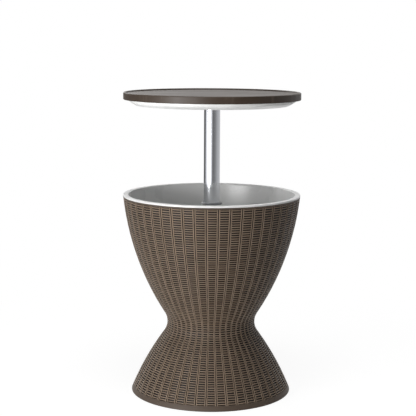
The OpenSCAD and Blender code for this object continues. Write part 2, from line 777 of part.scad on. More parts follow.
module drain_seal() color(rubber) on_drain(drain_seat_y - drain_seal_t)
    ring(0, drain_seal_t, drain_flange_d / 2, drain_spout_r + fixed_gap);

module drain_nut() color(dark_brown) on_drain(drain_pad_y) difference() {
    cylinder(r = drain_nut_r, h = drain_nut_h, $fn = 6);
    translate([0, 0, -over]) cylinder(r = drain_spout_r + fixed_gap, h = drain_nut_h + 2 * over);
}

module drain_plug() color(dark_brown) on_drain(drain_end_y + slide_gap) {
    stem_r = drain_bore_d / 2 - slide_gap;
    cap_r = drain_cap_d / 2;
    difference() {
        turned([[0, -plug_stem_l], [stem_r - 1.5 * bevel, -plug_stem_l], [stem_r, 3 * bevel - plug_stem_l],
            [stem_r, 0], [cap_r, 0], [cap_r, plug_cap_t - bevel], [cap_r - bevel, plug_cap_t],
            [0, plug_cap_t]]);
        for (side = [-1, 1])
            translate([side * cap_r * plug_grip_share - plug_grip_w / 2, -cap_r, plug_cap_t - plug_grip_t])
                cube([plug_grip_w, drain_cap_d, plug_grip_t + over]);
    }
}

table_top();
lid_pan();
pan_screws();
pole_head();
head_screws();
head_pin();
pole();
spindle();
spindle_pin();
spindle_washer();
spindle_screw();
lock_sleeve();
lock_wedge();
bucket_liner();
guide_column();
guide_bush();
column_seal();
ring_nut();
foot_washer();
foot_bolt();
upper_shell();
lower_shell();
waist_screws();
drain_spout();
drain_seal();
drain_nut();
drain_plug();
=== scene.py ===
"""Cooler side table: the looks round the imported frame.

An hourglass ice bucket of moulded wicker on a flared base, and a round table top on a bright pole.
Lengths are in metres, in the frame's own axes: +Z up the pole, +Y to the back, +X to the right.
"""
from __future__ import annotations

import json
import logging
import math
from collections.abc import Mapping, Sequence
from dataclasses import dataclass, fields
from enum import Enum
from typing import Any

import bmesh
import bpy
from mathutils import Matrix, Vector

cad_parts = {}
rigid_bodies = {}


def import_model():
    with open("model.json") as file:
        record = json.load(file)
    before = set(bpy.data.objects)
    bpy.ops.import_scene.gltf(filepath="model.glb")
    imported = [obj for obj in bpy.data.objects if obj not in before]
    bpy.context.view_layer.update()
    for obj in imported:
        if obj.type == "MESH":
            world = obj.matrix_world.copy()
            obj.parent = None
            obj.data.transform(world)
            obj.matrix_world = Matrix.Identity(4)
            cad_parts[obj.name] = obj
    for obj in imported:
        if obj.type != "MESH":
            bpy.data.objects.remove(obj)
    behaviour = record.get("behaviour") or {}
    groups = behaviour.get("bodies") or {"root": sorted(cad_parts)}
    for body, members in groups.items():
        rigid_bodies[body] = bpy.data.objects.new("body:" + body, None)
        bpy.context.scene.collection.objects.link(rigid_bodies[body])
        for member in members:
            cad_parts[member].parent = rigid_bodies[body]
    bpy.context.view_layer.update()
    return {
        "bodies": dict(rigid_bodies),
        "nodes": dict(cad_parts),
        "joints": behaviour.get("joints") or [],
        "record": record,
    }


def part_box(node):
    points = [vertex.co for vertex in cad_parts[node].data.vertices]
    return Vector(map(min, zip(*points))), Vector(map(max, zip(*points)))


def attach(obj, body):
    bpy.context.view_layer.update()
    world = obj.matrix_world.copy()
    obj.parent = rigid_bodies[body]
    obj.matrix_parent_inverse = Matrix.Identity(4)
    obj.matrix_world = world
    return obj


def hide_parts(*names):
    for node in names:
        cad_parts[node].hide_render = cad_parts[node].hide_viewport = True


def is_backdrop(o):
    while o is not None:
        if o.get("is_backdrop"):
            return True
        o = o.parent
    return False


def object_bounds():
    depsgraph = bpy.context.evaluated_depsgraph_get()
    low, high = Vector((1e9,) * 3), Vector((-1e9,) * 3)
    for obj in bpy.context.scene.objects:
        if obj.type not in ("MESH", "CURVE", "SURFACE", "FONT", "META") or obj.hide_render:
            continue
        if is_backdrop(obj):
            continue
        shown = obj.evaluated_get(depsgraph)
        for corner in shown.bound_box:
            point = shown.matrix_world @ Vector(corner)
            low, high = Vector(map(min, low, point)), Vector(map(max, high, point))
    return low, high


LOG = logging.getLogger("side_table")

MM = 0.001
FULL_TURN = 2 * math.pi
WHITE = (1.0, 1.0, 1.0)
UPWARD = (0.0, 0.0, 1.0)
SIDEWAYS = (0.0, 1.0, 0.0)
# How far plain pieces stay under the outline, and how far the plain bands do at their edge
SKIN = 0.1 * MM
BAND_DEPTH = 0.2 * MM
Point = tuple[float, float]
Place = tuple[float, float, float]
Colour = tuple[float, float, float]
Value = Any


class Body(Enum):
    """The frame's body that the new pieces ride on."""

    STAND = "stand"


class Slot(Enum):
    """The record's material slots."""

    WICKER = "wicker"
    BROWN = "brown_plastic"
    WHITE = "white_plastic"
    POLE = "pole_metal"
    GREY = "grey_plastic"
    STEEL = "steel"
    RUBBER = "rubber"


class Kind(Enum):
    """The types of a geometry tree's named inputs."""

    NUMBER = "NodeSocketFloat"
    COUNT = "NodeSocketInt"
    MATERIAL = "NodeSocketMaterial"


class Data(Enum):
    """The types of what a geometry tree keeps on a mesh."""

    NUMBER = "FLOAT"
    VECTOR = "FLOAT_VECTOR"


class Domain(Enum):
    """What a kept value belongs to."""

    POINT = "POINT"
    INSTANCE = "INSTANCE"


class Draw(Enum):
    """What tells the random numbers of a tree apart."""

    RISE = 1
    SWELL = 2
    THICKNESS = 3
    HEIGHT = 4
    TINT = 5


def linear(level: float) -> float:
    """Turns a display level from 0 to 255 into a linear one from 0 to 1, by the sRGB curve."""
    share = level / 255
    return share / 12.92 if share <= 0.04045 else ((share + 0.055) / 1.055) ** 2.4


def paint(colour: Colour) -> Colour:
    """Turns a display colour, 0 to 255 each, into a linear one."""
    red, green, blue = (linear(level) for level in colour)
    return red, green, blue


class Graph:
    """Adds and wires the nodes of one shader or geometry tree."""

    # The middle part of its range that a noise keeps to
    NOISE_REACH = (0.3, 0.7)

    def __init__(self, tree: bpy.types.NodeTree) -> None:
        """Starts on a tree."""
        self.tree = tree

    def feed(self, socket: bpy.types.NodeSocket, value: Value) -> None:
        """Links a socket to another one, or sets its constant.

        Args:
            socket: The input to feed.
            value: An output socket to link, or a plain value.
        """
        if isinstance(value, bpy.types.NodeSocket):
            self.tree.links.new(value, socket)
        elif socket.type == "RGBA" and len(value) == 3:
            socket.default_value = (*value, 1.0)
        else:
            socket.default_value = value

    def add(self, kind: str, inputs: Mapping[str | int, Value] | None = None,
            **settings: Any) -> bpy.types.Node:
        """Adds a node.

        Args:
            kind: Blender's name for the node's type.
            inputs: Values or sockets by the name or place of the input.
            **settings: The node's own properties.

        Returns:
            The new node.
        """
        node = self.tree.nodes.new(kind)
        for name, value in settings.items():
            setattr(node, name, value)
        for key, value in (inputs or {}).items():
            self.feed(node.inputs[key], value)
        return node

    def math(self, operation: str, *values: Value) -> bpy.types.NodeSocket:
        """Works out a number from the values, in order, with one of Blender's operations."""
        return self.add("ShaderNodeMath", dict(enumerate(values)), operation=operation).outputs[0]

    def times(self, first: Value, second: Value) -> bpy.types.NodeSocket:
        """Multiplies two numbers."""
        return self.math("MULTIPLY", first, second)

    def plus(self, first: Value, second: Value) -> bpy.types.NodeSocket:
        """Adds two numbers."""
        return self.math("ADD", first, second)

    def minus(self, first: Value, second: Value) -> bpy.types.NodeSocket:
        """Takes the second number from the first."""
        return self.math("SUBTRACT", first, second)

    def square(self, number: Value) -> bpy.types.NodeSocket:
        """Squares a number."""
        return self.math("POWER", number, 2.0)

    def diagonal(self, first: Value, second: Value) -> bpy.types.NodeSocket:
        """The long side of a right triangle over its two short ones."""
        return self.math("SQRT", self.plus(self.square(first), self.square(second)))

    def vector(self, operation: str, *values: Value) -> bpy.types.NodeSocket:
        """Works out a vector from the values, in order, or a number for a length."""
        node = self.add("ShaderNodeVectorMath", dict(enumerate(values)), operation=operation)
        return node.outputs[1 if operation == "LENGTH" else 0]

    def scaled(self, source: Value, factor: Value) -> bpy.types.NodeSocket:
        """Scales a vector or a colour by a number."""
        return self.add("ShaderNodeVectorMath", {0: source, "Scale": factor}, operation="SCALE").outputs[0]

    def joined(self, x: Value, y: Value, z: Value) -> bpy.types.NodeSocket:
        """Joins three numbers into a vector."""
        return self.add("ShaderNodeCombineXYZ", {0: x, 1: y, 2: z}).outputs[0]

    def parts(self, vector: Value) -> list[bpy.types.NodeSocket]:
        """A vector's three numbers."""
        return list(self.add("ShaderNodeSeparateXYZ", {0: vector}).outputs)

    def turned(self, source: Value, angle: Value) -> bpy.types.NodeSocket:
        """Turns a vector about the pole's axis."""
        return self.add("ShaderNodeVectorRotate", {"Vector": source, "Angle": angle},
                        rotation_type="Z_AXIS").outputs[0]

    def spread(self, source: Value, low: Value, high: Value, start: Value = 0.0, end: Value = 1.0,
               smooth: bool = False) -> bpy.types.NodeSocket:
        """Maps a number from low..high to start..end, eased if smooth, and holds it there."""
        return self.add("ShaderNodeMapRange", {0: source, 1: low, 2: high, 3: start, 4: end},
                        interpolation_type="SMOOTHSTEP" if smooth else "LINEAR").outputs[0]

    def swung(self, noise: Value, start: Value, end: Value) -> bpy.types.NodeSocket:
        """Maps a noise to start..end."""
        return self.spread(noise, *self.NOISE_REACH, start, end)

    def noise(self, place: Value, scale: Value, detail: float = 2.0,
              roughness: float = 0.5) -> bpy.types.NodeSocket:
        """A noise read at a place, from 0 to 1, whose detail is its octaves and how strong they are."""
        return self.add("ShaderNodeTexNoise", {
            "Vector": place, "Scale": scale, "Detail": detail, "Roughness": roughness}).outputs[0]

    def mixed(self, factor: Value, first: Value, second: Value) -> bpy.types.NodeSocket:
        """Mixes two colours.

        Args:
            factor: The second one's share.
            first: A colour.
            second: Another.

        Returns:
            The mixed colour.
        """
        node = self.add("ShaderNodeMix", {0: factor}, data_type="RGBA")
        self.feed(node.inputs[6], first)
        self.feed(node.inputs[7], second)
        return node.outputs[2]


@dataclass(frozen=True)
class Finish:
    """A surface finish: its colour and how evenly it is coloured and polished."""

    name: str
    colour: Colour
    roughness: float = 0.45
    roughness_play: float = 0.08
    mottle: float = 0.06
    mottle_scale: float = 14.0
    mottle_reach: Point = (0.25, 0.75)
    patch_scale: float = 2.5
    grain_scale: float = 900.0
    grain_depth: float = 0.02 * MM
    bump_strength: float = 1.0
    metallic: float = 0.0
    specular: float = 0.5

    def place(self, graph: Graph) -> bpy.types.NodeSocket:
        """Object coordinates, which every finish is laid out in."""
        return graph.add("ShaderNodeTexCoord").outputs["Object"]

    def uneven(self, graph: Graph, place: Value, colour: Value) -> bpy.types.NodeSocket:
        """Varies a colour softly over the piece, as moulded resin does.

        Args:
            graph: The material's tree.
            place: Object coordinates.
            colour: The colour.

        Returns:
            The varied colour.
        """
        cloud = graph.noise(place, self.mottle_scale, detail=4.0)
        level = graph.spread(cloud, *self.mottle_reach, 1 - self.mottle, 1 + self.mottle)
        return graph.scaled(colour, level)

    def polish(self, graph: Graph, pattern: Value, reach: Point = Graph.NOISE_REACH) -> bpy.types.NodeSocket:
        """Roughness that follows a pattern over its reach, by the finish's play to either side."""
        return graph.spread(pattern, *reach, self.roughness - self.roughness_play,
                            self.roughness + self.roughness_play)

    def inputs(self, graph: Graph, colour: Value, roughness: Value, height: Value) -> dict[str, Value]:
        """The shader's linked inputs.

        Args:
            graph: The material's tree.
            colour: The surface's colour.
            roughness: Its roughness.
            height: Its relief, which becomes a bump.

        Returns:
            The inputs by name.
        """
        bump = graph.add("ShaderNodeBump", {
            "Height": height, "Distance": self.grain_depth, "Strength": self.bump_strength})
        return {"Base Color": colour, "Roughness": roughness, "Normal": bump.outputs[0]}

    def surface(self, graph: Graph) -> dict[str, Value]:
        """Plain moulded resin: a soft mottle, a fine grain and patches of more and less polish.

        Args:
            graph: The material's tree.

        Returns:
            The shader's linked inputs by name.
        """
        place = self.place(graph)
        grain = graph.noise(place, self.grain_scale)
        patch = graph.noise(place, self.mottle_scale * self.patch_scale, detail=3.0)
        colour = self.uneven(graph, place, paint(self.colour))
        return self.inputs(graph, colour, self.polish(graph, patch), grain)

    def material(self) -> bpy.types.Material:
        """Builds the material.

        Returns:
            A material with this finish.
        """
        material = bpy.data.materials.new(self.name)
        material.use_nodes = True
        material.node_tree.nodes.clear()
        graph = Graph(material.node_tree)
        shader = graph.add("ShaderNodeBsdfPrincipled", self.surface(graph))
        shader.inputs["Metallic"].default_value = self.metallic
        shader.inputs["Specular IOR Level"].default_value = self.specular
        graph.add("ShaderNodeOutputMaterial", {"Surface": shader.outputs[0]})
        return material


@dataclass(frozen=True)
class WickerFinish(Finish):
    """Moulded wicker: a painted highlight on the crests, painted shade in the gaps, fibres along each strand
    and a tint of its own on each rung.

    It reads three attributes of the mesh: crown, 0 deep down to 1 on the outermost ridge, which sets the
    painted shade and the painted highlight, tint, 0 to 1 by strand, and grain, a place across and along the
    strand.
    """

    grain_depth: float = 0.10 * MM
    bump_strength: float = 0.6
    # The dark colour below is painted shade for the weave's gaps, the pale one a painted highlight on its
    # crests
    gap: Colour = (24, 16, 11)
    crest: Colour = (186, 165, 144)
    crown_low: float = 0.5
    crown_high: float = 0.97
    crest_low: float = 0.84
    crest_share: float = 0.65
    tint_play: float = 0.2
    tint_shift: float = 97.0
    fibre_play: float = 0.12
    fibre_across: float = 2600.0
    fibre_along: float = 90.0
    fine_share: float = 0.3

    def surface(self, graph: Graph) -> dict[str, Value]:
        """Painted shade in the gaps, the strand's colour above them and a painted highlight on the crests,
        with fibres in all of it.

        Args:
            graph: The material's tree.

        Returns:
            The shader's linked inputs by name.
        """
        place = self.place(graph)
        crown, tint = (graph.add("ShaderNodeAttribute", attribute_name=name).outputs["Fac"]
                       for name in ("crown", "tint"))
        grain = graph.add("ShaderNodeAttribute", attribute_name="grain").outputs["Vector"]
        own = graph.vector("MULTIPLY", grain, (self.fibre_across, self.fibre_across, self.fibre_along))
        shifted = graph.vector("ADD", own, graph.scaled(WHITE, graph.times(tint, self.tint_shift)))
        fibre = graph.noise(shifted, 1.0, detail=3.0, roughness=0.6)
        # Painted shade: where the crown is low, in the weave's gaps and on the sides of strands and rungs,
        # the colour goes dark
        unshaded_share = graph.spread(crown, self.crown_low, self.crown_high, smooth=True)
        # Painted highlight: near the top of the crown the colour goes towards a pale one
        top = graph.times(graph.spread(crown, self.crest_low, 1.0, smooth=True), self.crest_share)
        colour = graph.mixed(unshaded_share, paint(self.gap), paint(self.colour))
        colour = graph.mixed(top, colour, paint(self.crest))
        level = graph.plus(graph.spread(tint, 0.0, 1.0, 1 - self.tint_play, 1.0),
                           graph.swung(fibre, -self.fibre_play, self.fibre_play))
        colour = self.uneven(graph, place, graph.scaled(colour, level))
        fine = graph.noise(place, self.grain_scale)
        height = graph.plus(fibre, graph.times(fine, self.fine_share))
        return self.inputs(graph, colour, self.polish(graph, fibre), height)


@dataclass(frozen=True)
class DrawnMetal(Finish):
    """Drawn and polished tube: fine lines along the pole and soft smears of polish."""

    bump_strength: float = 0.5
    line_scale: Place = (900.0, 900.0, 4.0)
    line_play: float = 0.04
    smear_scale: Place = (40.0, 40.0, 9.0)

    def surface(self, graph: Graph) -> dict[str, Value]:
        """Lines in the colour and the relief, smears in the polish.

        Args:
            graph: The material's tree.

        Returns:
            The shader's linked inputs by name.
        """
        place = self.place(graph)
        lines, smears = (graph.noise(graph.vector("MULTIPLY", place, scale), 1.0, detail=3.0)
                         for scale in (self.line_scale, self.smear_scale))
        colour = graph.scaled(paint(self.colour), graph.swung(lines, 1 - self.line_play, 1 + self.line_play))
        return self.inputs(graph, colour, self.polish(graph, smears), lines)


@dataclass(frozen=True)
class PlatedSteel(Finish):
    """Zinc plate: small crystals that differ in brightness and polish."""

    bump_strength: float = 0.5
    crystal_scale: float = 420.0
    crystal_play: float = 0.16

    def surface(self, graph: Graph) -> dict[str, Value]:
        """Crystals in the colour and the polish, and a fine grain in the relief.

        Args:
            graph: The material's tree.

        Returns:
            The shader's linked inputs by name.
        """
        place = self.place(graph)
        cells = graph.add("ShaderNodeTexVoronoi", {"Vector": place, "Scale": self.crystal_scale})
        level = graph.parts(cells.outputs["Color"])[0]
        colour = graph.scaled(paint(self.colour), graph.spread(level, 0.0, 1.0, 1 - self.crystal_play, 1.0))
        grain = graph.noise(place, self.grain_scale)
        return self.inputs(graph, colour, self.polish(graph, level, (0.0, 1.0)), grain)


@dataclass(frozen=True)
class TrayFinish(Finish):
    """Smooth brown resin of the tray, with a fine leather-like stipple and faint rub marks."""

    bump_strength: float = 0.5
    stipple_scale: float = 620.0
    grain_share: float = 0.4
    rub: Colour = (112, 100, 90)
    rub_share: float = 0.3
    rub_scale: Place = (9.0, 70.0, 9.0)
    rub_reach: Point = (0.52, 0.72)
    rub_dulling: float = 0.2

    def surface(self, graph: Graph) -> dict[str, Value]:
        """Stipple and grain in the relief, and rub marks that are paler and duller.

        Args:
            graph: The material's tree.

        Returns:
            The shader's linked inputs by name.
        """
        place = self.place(graph)
        cells = graph.add("ShaderNodeTexVoronoi", {"Vector": place, "Scale": self.stipple_scale},
                          feature="SMOOTH_F1").outputs["Distance"]
        marks = graph.noise(graph.vector("MULTIPLY", place, self.rub_scale), 1.0, detail=5.0, roughness=0.65)
        rubbed = graph.times(graph.spread(marks, *self.rub_reach, smooth=True), self.rub_share)
        colour = self.uneven(graph, place, graph.mixed(rubbed, paint(self.colour), paint(self.rub)))
        height = graph.plus(cells, graph.times(graph.noise(place, self.grain_scale), self.grain_share))
        roughness = graph.plus(self.polish(graph, marks), graph.times(rubbed, self.rub_dulling))
        return self.inputs(graph, colour, roughness, height)


@dataclass(frozen=True)
class Palette:
    """Every finish on the table."""

    wicker: Finish = WickerFinish("moulded_wicker", (103, 86, 70), roughness=0.34, mottle=0.05,
                                  mottle_scale=9.0, specular=0.2)
    # Its woven ground, with crown 0, takes the finish's dark colour as painted shade; it gets no painted
    # highlight
    shell: Finish = WickerFinish("shell_resin", (84, 71, 60), roughness=0.56, mottle=0.05,
                                 mottle_scale=9.0, specular=0.4, crown_high=0.78, crest_share=0.0)
    tray: Finish = TrayFinish("tray_resin", (60, 48, 38), roughness=0.47, grain_depth=0.03 * MM,
                              specular=0.4)
    dark: Finish = Finish("dark_resin", (66, 54, 46))
    white: Finish = Finish("white_resin", (240, 240, 239), roughness=0.3, roughness_play=0.06,
                           mottle=0.012, mottle_scale=6.0, grain_scale=500.0, grain_depth=0.012 * MM)
    pole: Finish = DrawnMetal("drawn_tube", (232, 234, 238), roughness=0.14, roughness_play=0.04,
                              grain_depth=0.004 * MM, metallic=1.0)
    grey: Finish = Finish("grey_resin", (142, 144, 147), roughness=0.42, mottle=0.04)
    steel: Finish = PlatedSteel("zinc_plate", (206, 207, 204), roughness=0.32, metallic=1.0,
                                grain_depth=0.01 * MM)
    rubber: Finish = Finish("rubber", (38, 38, 39), roughness=0.82, grain_scale=700.0,
                            grain_depth=0.04 * MM, specular=0.3)

    def materials(self) -> dict[str, bpy.types.Material]:
        """Builds the material of each finish, by the finish's name here."""
        return {item.name: getattr(self, item.name).material() for item in fields(self)}


def shown(name: str, mesh: bpy.types.Mesh, body: Body,
          replaced: Sequence[str] = ()) -> bpy.types.Object:
    """Puts a finished mesh into the scene as a piece of the table.

    Args:
        name: The piece's name.
        mesh: Its mesh, in the frame's axes.
        body: The body it moves with.
        replaced: The frame's nodes that it stands for.

    Returns:
        The piece.
    """
    piece = bpy.data.objects.new(name, mesh)
    bpy.context.scene.collection.objects.link(piece)
    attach(piece, body.value)
    if replaced:
        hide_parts(*replaced)
    LOG.info("%s: %d faces, on %s%s", name, len(mesh.polygons), body.value,
             f", for {', '.join(replaced)}" if replaced else "")
    return piece


def smoothed(mesh: bpy.types.Mesh, sharp_degrees: float = 32.0) -> bpy.types.Mesh:
    """Shades a mesh smooth, apart from its sharp edges.

    Args:
        mesh: The mesh.
        sharp_degrees: The angle from which an edge is sharp.

    Returns:
        The same mesh.
    """
    mesh.shade_smooth()
    mesh.set_sharp_from_angle(angle=math.radians(sharp_degrees))
    return mesh


def closed(name: str, form: bmesh.types.BMesh) -> bpy.types.Mesh:
    """Turns a closed form's faces outwards and makes it a mesh.

    Args:
        name: The mesh's name.
        form: The form, which is freed.

    Returns:
        The mesh.
    """
    bmesh.ops.recalc_face_normals(form, faces=form.faces)
    mesh = bpy.data.meshes.new(name)
    form.to_mesh(mesh)
    form.free()
    return mesh


def lofted(name: str, rows: Sequence[Sequence[Place]]) -> bpy.types.Mesh:
    """Joins rows of points into a surface that closes on itself both ways, as a ring does.

    Args:
        name: The mesh's name.
        rows: The points, the same number in each row.

    Returns:
        A closed mesh with its faces outwards.
    """
    form = bmesh.new()
    grid = [[form.verts.new(place) for place in row] for row in rows]
    for row, after in zip(grid, grid[1:] + grid[:1]):
        for i in range(len(row)):
            j = (i + 1) % len(row)
            form.faces.new((row[i], row[j], after[j], after[i]))
    return closed(name, form)


def turns(count: int, start: float = 0.0) -> list[float]:
    """Even turns all the way round, the first one a share of a step on."""
    return [FULL_TURN * (i + start) / count for i in range(count)]


def revolved(name: str, rings: Sequence[Point], segments: int) -> bpy.types.Mesh:
    """Revolves a closed outline about the pole's axis.

    Args:
        name: The mesh's name.
        rings: The outline's points, radius and height, none of them on the axis.
        segments: How many steps go round.

    Returns:
        A closed mesh with its faces outwards.
    """
    around = turns(segments)
    return lofted(name, [[(radius * math.cos(turn), radius * math.sin(turn), height) for turn in around]
                         for radius, height in rings])


def plain(points: Sequence[Point]) -> list[Place]:
    """Gives the points of an outline no rounding."""
    return [(radius, height, 0.0) for radius, height in points]


def filleted(corners: Sequence[Place], steps: int = 4) -> list[Point]:
    """Rounds the corners of a closed outline.

    Args:
        corners: Radius, height and rounding of each corner, 0 where it stays as it is.
        steps: How many steps each rounding takes.

    Returns:
        The outline's points.
    """
    # A rounding takes a little less than half of the shorter side beside it
    most = 0.49
    points: list[Point] = []
    for i, (x, y, rounding) in enumerate(corners):
        if rounding <= 0:
            points.append((x, y))
            continue
        here = Vector((x, y))
        to_before = Vector(corners[i - 1][:2]) - here
        to_after = Vector(corners[(i + 1) % len(corners)][:2]) - here
        back = min(rounding, to_before.length * most, to_after.length * most)
        start, end = here + to_before.normalized() * back, here + to_after.normalized() * back
        for k in range(steps + 1):
            t = k / steps
            spot = start * (1 - t) ** 2 + here * 2 * t * (1 - t) + end * t ** 2
            points.append((spot.x, spot.y))
    return points


def rod(radius: float, start: Vector, end: Vector, sides: int = 48) -> bpy.types.Mesh:
    """A closed round rod between two points.

    Args:
        radius: Its radius.
        start: One end's middle.
        end: The other end's middle.
        sides: How many sides it has.

    Returns:
        Its mesh.
    """
    form = bmesh.new()
    along = end - start
    place = Matrix.Translation((start + end) / 2) @ along.to_track_quat("Z", "Y").to_matrix().to_4x4()
    bmesh.ops.create_cone(form, cap_ends=True, segments=sides, radius1=radius, radius2=radius,
                          depth=along.length, matrix=place)
    return closed("rod", form)


def bored(mesh: bpy.types.Mesh, drill: bpy.types.Mesh) -> bpy.types.Mesh:
    """Cuts a closed tool out of a solid.

    Args:
        mesh: The solid.
        drill: The tool.

    Returns:
        The new mesh.
    """
    solid, tool = (bpy.data.objects.new(data.name, data) for data in (mesh, drill))
    for helper in (solid, tool):
        bpy.context.scene.collection.objects.link(helper)
    step = solid.modifiers.new("work", "BOOLEAN")
    step.object, step.operation, step.solver = tool, "DIFFERENCE", "EXACT"
    result = bpy.data.meshes.new_from_object(solid.evaluated_get(bpy.context.evaluated_depsgraph_get()))
    for helper in (solid, tool):
        bpy.data.objects.remove(helper)
    return result


@dataclass(frozen=True)
class Hourglass:
    """The outline that both shells share: a bowl arc and a base arc, each tangent to the waist's hollow."""

    rim_radius: float = 249 * MM
    rim_height: float = 560 * MM
    waist_radius: float = 125 * MM
    waist_height: float = 198.5 * MM
    hollow: float = 53 * MM
    bowl_lean: float = math.radians(32.5)
    base_lean: float = math.radians(36)
    foot_radius: float = 227.5 * MM

    def hollow_middle(self) -> Vector:
        """The middle of the waist's hollow, radius and height."""
        return Vector((self.waist_radius + self.hollow, self.waist_height))

    def arc(self, up: bool) -> tuple[Vector, float]:
        """The middle and the radius of the bowl's arc, or of the base's.

        Args:
            up: Whether it is the bowl's.

        Returns:
            The arc's middle, radius and height, and its radius.
        """
        lean, side = (self.bowl_lean, 1) if up else (self.base_lean, -1)
        start = self.hollow_middle() + self.hollow * Vector((-math.cos(lean), side * math.sin(lean)))
        outward = Vector((math.cos(lean), -side * math.sin(lean)))
        end = Vector((self.rim_radius, self.rim_height) if up else (self.foot_radius, 0.0))
        chord = end - start
        radius = -chord.length_squared / (2 * chord.dot(outward))
        return start - radius * outward, radius

    def radius(self, height: float, depth: float = 0.0) -> float:
        """The outline's radius at a height, drawn in square to the surface.

        Args:
            height: The height above the floor.
            depth: How far below the surface.

        Returns:
            The radius.
        """
        reach = self.hollow + depth
        rise = height - self.waist_height
        if rise > reach * math.sin(self.bowl_lean) or rise < -reach * math.sin(self.base_lean):
            middle, radius = self.arc(rise > 0)
            return middle.x + math.sqrt((radius - depth) ** 2 - (height - middle.y) ** 2)
        return self.hollow_middle().x - math.sqrt(reach ** 2 - rise ** 2)

    def side(self, low: float, high: float, depth: float, pitch: float = 6 * MM) -> list[Point]:
        """Points up the outline, about a pitch apart.

        Args:
            low: The lowest height.
            high: The highest height.
            depth: How far below the surface.
            pitch: The step.

        Returns:
            Radius and height of each point.
        """
        steps = max(1, math.ceil((high - low) / pitch))
        levels = [low + (high - low) * i / steps for i in range(steps + 1)]
        return [(self.radius(level, depth), level) for level in levels]

    def sunk(self, place: Vector) -> float:
        """How far a point lies inside the outline at its height."""
        return self.radius(place.z) - math.hypot(place.x, place.y)


@dataclass(frozen=True)
class Weave:
    """Sizes of the moulded weave: pairs of upright strands with rounded rungs between them."""

    stakes: int = 48
    turn: float = math.radians(0.36)
    pair_half_turn: float = math.radians(0.67)
    strand_width: float = 4.35 * MM
    width_play: float = 0.15
    strand_thickness: float = 2.3 * MM
    strand_narrow: float = 0.36
    strand_depth: float = 1.35 * MM
    strand_step: float = 4 * MM
    strand_wander: float = 1.2 * MM
    rung_height: float = 3.8 * MM
    rung_thickness: float = 2.3 * MM
    rung_bulge: float = 1.15 * MM
    rung_depth: float = 2.45 * MM
    rung_play: float = 0.22 * MM
    row_wander: float = 0.9 * MM
    ground_depth: float = 3.1 * MM
    shell_inside: float = 5.2 * MM


@dataclass(frozen=True)
class DrainPlace:
    """Where the drain stands in the back of the bowl, and its pad's sizes."""

    height: float = 313.5 * MM
    pad_radius: float = 22 * MM
    collar: float = 3 * MM
    plate: float = 2.5 * MM
    hole_radius: float = 9.3 * MM
    edge: float = 0.7 * MM
    inside_cover: float = 0.4 * MM
    strand_lap: float = 1.5 * MM
    sides: int = 96

    @property
    def reach(self) -> float:
        """The collar's outer radius."""
        return self.pad_radius + self.collar


class GrowGraph(Graph):
    """A geometry tree with named inputs, and the steps that the weave's trees share."""

    def __init__(self, name: str, sockets: Mapping[str, Kind]) -> None:
        """Starts a tree.

        Args:
            name: The tree's name.
            sockets: The names and types of its inputs after the geometry.
        """
        super().__init__(bpy.data.node_groups.new(name, "GeometryNodeTree"))
        interface = self.tree.interface
        interface.new_socket("Geometry", in_out="INPUT", socket_type="NodeSocketGeometry")
        for socket, kind in sockets.items():
            interface.new_socket(socket, in_out="INPUT", socket_type=kind.value)
        interface.new_socket("Geometry", in_out="OUTPUT", socket_type="NodeSocketGeometry")
        self.entry = self.add("NodeGroupInput")

    def given(self, name: str) -> bpy.types.NodeSocket:
        """One of the tree's inputs."""
        return self.entry.outputs[name]

    def position(self) -> bpy.types.NodeSocket:
        """Where each point is."""
        return self.add("GeometryNodeInputPosition").outputs[0]

    def curve(self, mesh: Value) -> bpy.types.NodeSocket:
        """Turns chains of edges into curves."""
        return self.add("GeometryNodeMeshToCurve", {0: mesh}).outputs[0]

    def stored(self, geometry: Value, name: str, value: Value, data: Data = Data.NUMBER,
               domain: Domain = Domain.POINT) -> bpy.types.NodeSocket:
        """Keeps a value on the geometry under a name.

        Args:
            geometry: The geometry.
            name: The name.
            value: The value, worked out for each element.
            data: Its type.
            domain: What the elements are.

        Returns:
            The geometry with the value on it.
        """
        inputs = {"Geometry": geometry, "Name": name, "Value": value}
        return self.add("GeometryNodeStoreNamedAttribute", inputs, data_type=data.value,
                        domain=domain.value).outputs[0]

    def kept(self, name: str, data: Data) -> bpy.types.NodeSocket:
        """What was kept under a name."""
        return self.add("GeometryNodeInputNamedAttribute", {"Name": name}, data_type=data.value).outputs[0]

    def random(self, low: Value, high: Value, draw: Draw) -> bpy.types.NodeSocket:
        """A random number from low to high for each element, from the tree's seed and the draw."""
        seed = self.plus(self.given("Seed"), float(draw.value))
        return self.add("FunctionNodeRandomValue", {2: low, 3: high, 8: seed}, data_type="FLOAT").outputs[1]

    def near_drain(self) -> bpy.types.NodeSocket:
        """Whether a point lies over the drain's pad.

        Returns:
            1 where it does and 0 elsewhere.
        """
        x, y, z = self.parts(self.position())
        away = self.diagonal(x, self.minus(z, self.given("Drain Height")))
        close = self.math("LESS_THAN", away, self.given("Drain Clear"))
        return self.times(close, self.math("GREATER_THAN", y, 0.0))

    def without(self, geometry: Value, chosen: Value) -> bpy.types.NodeSocket:
        """Deletes the chosen points."""
        return self.add("GeometryNodeDeleteGeometry", {"Geometry": geometry, "Selection": chosen},
                        domain="POINT").outputs[0]

    def moved(self, geometry: Value, place: Value) -> bpy.types.NodeSocket:
        """Puts points in a place."""
        return self.add("GeometryNodeSetPosition", {"Geometry": geometry, "Position": place}).outputs[0]

    def finished(self, geometry: Value) -> bpy.types.GeometryNodeTree:
        """Shades what it has made smooth, and ends the tree in Realize Instances and Set Material.

        Args:
            geometry: What it has made.

        Returns:
            The tree.
        """
        smooth = self.add("GeometryNodeSetShadeSmooth", {"Geometry": geometry}).outputs[0]
        real = self.add("GeometryNodeRealizeInstances", {"Geometry": smooth}).outputs[0]
        dressed = self.add("GeometryNodeSetMaterial", {
            "Geometry": real, "Material": self.given("Material")}).outputs[0]
        self.add("NodeGroupOutput", {0: dressed})
        return self.tree


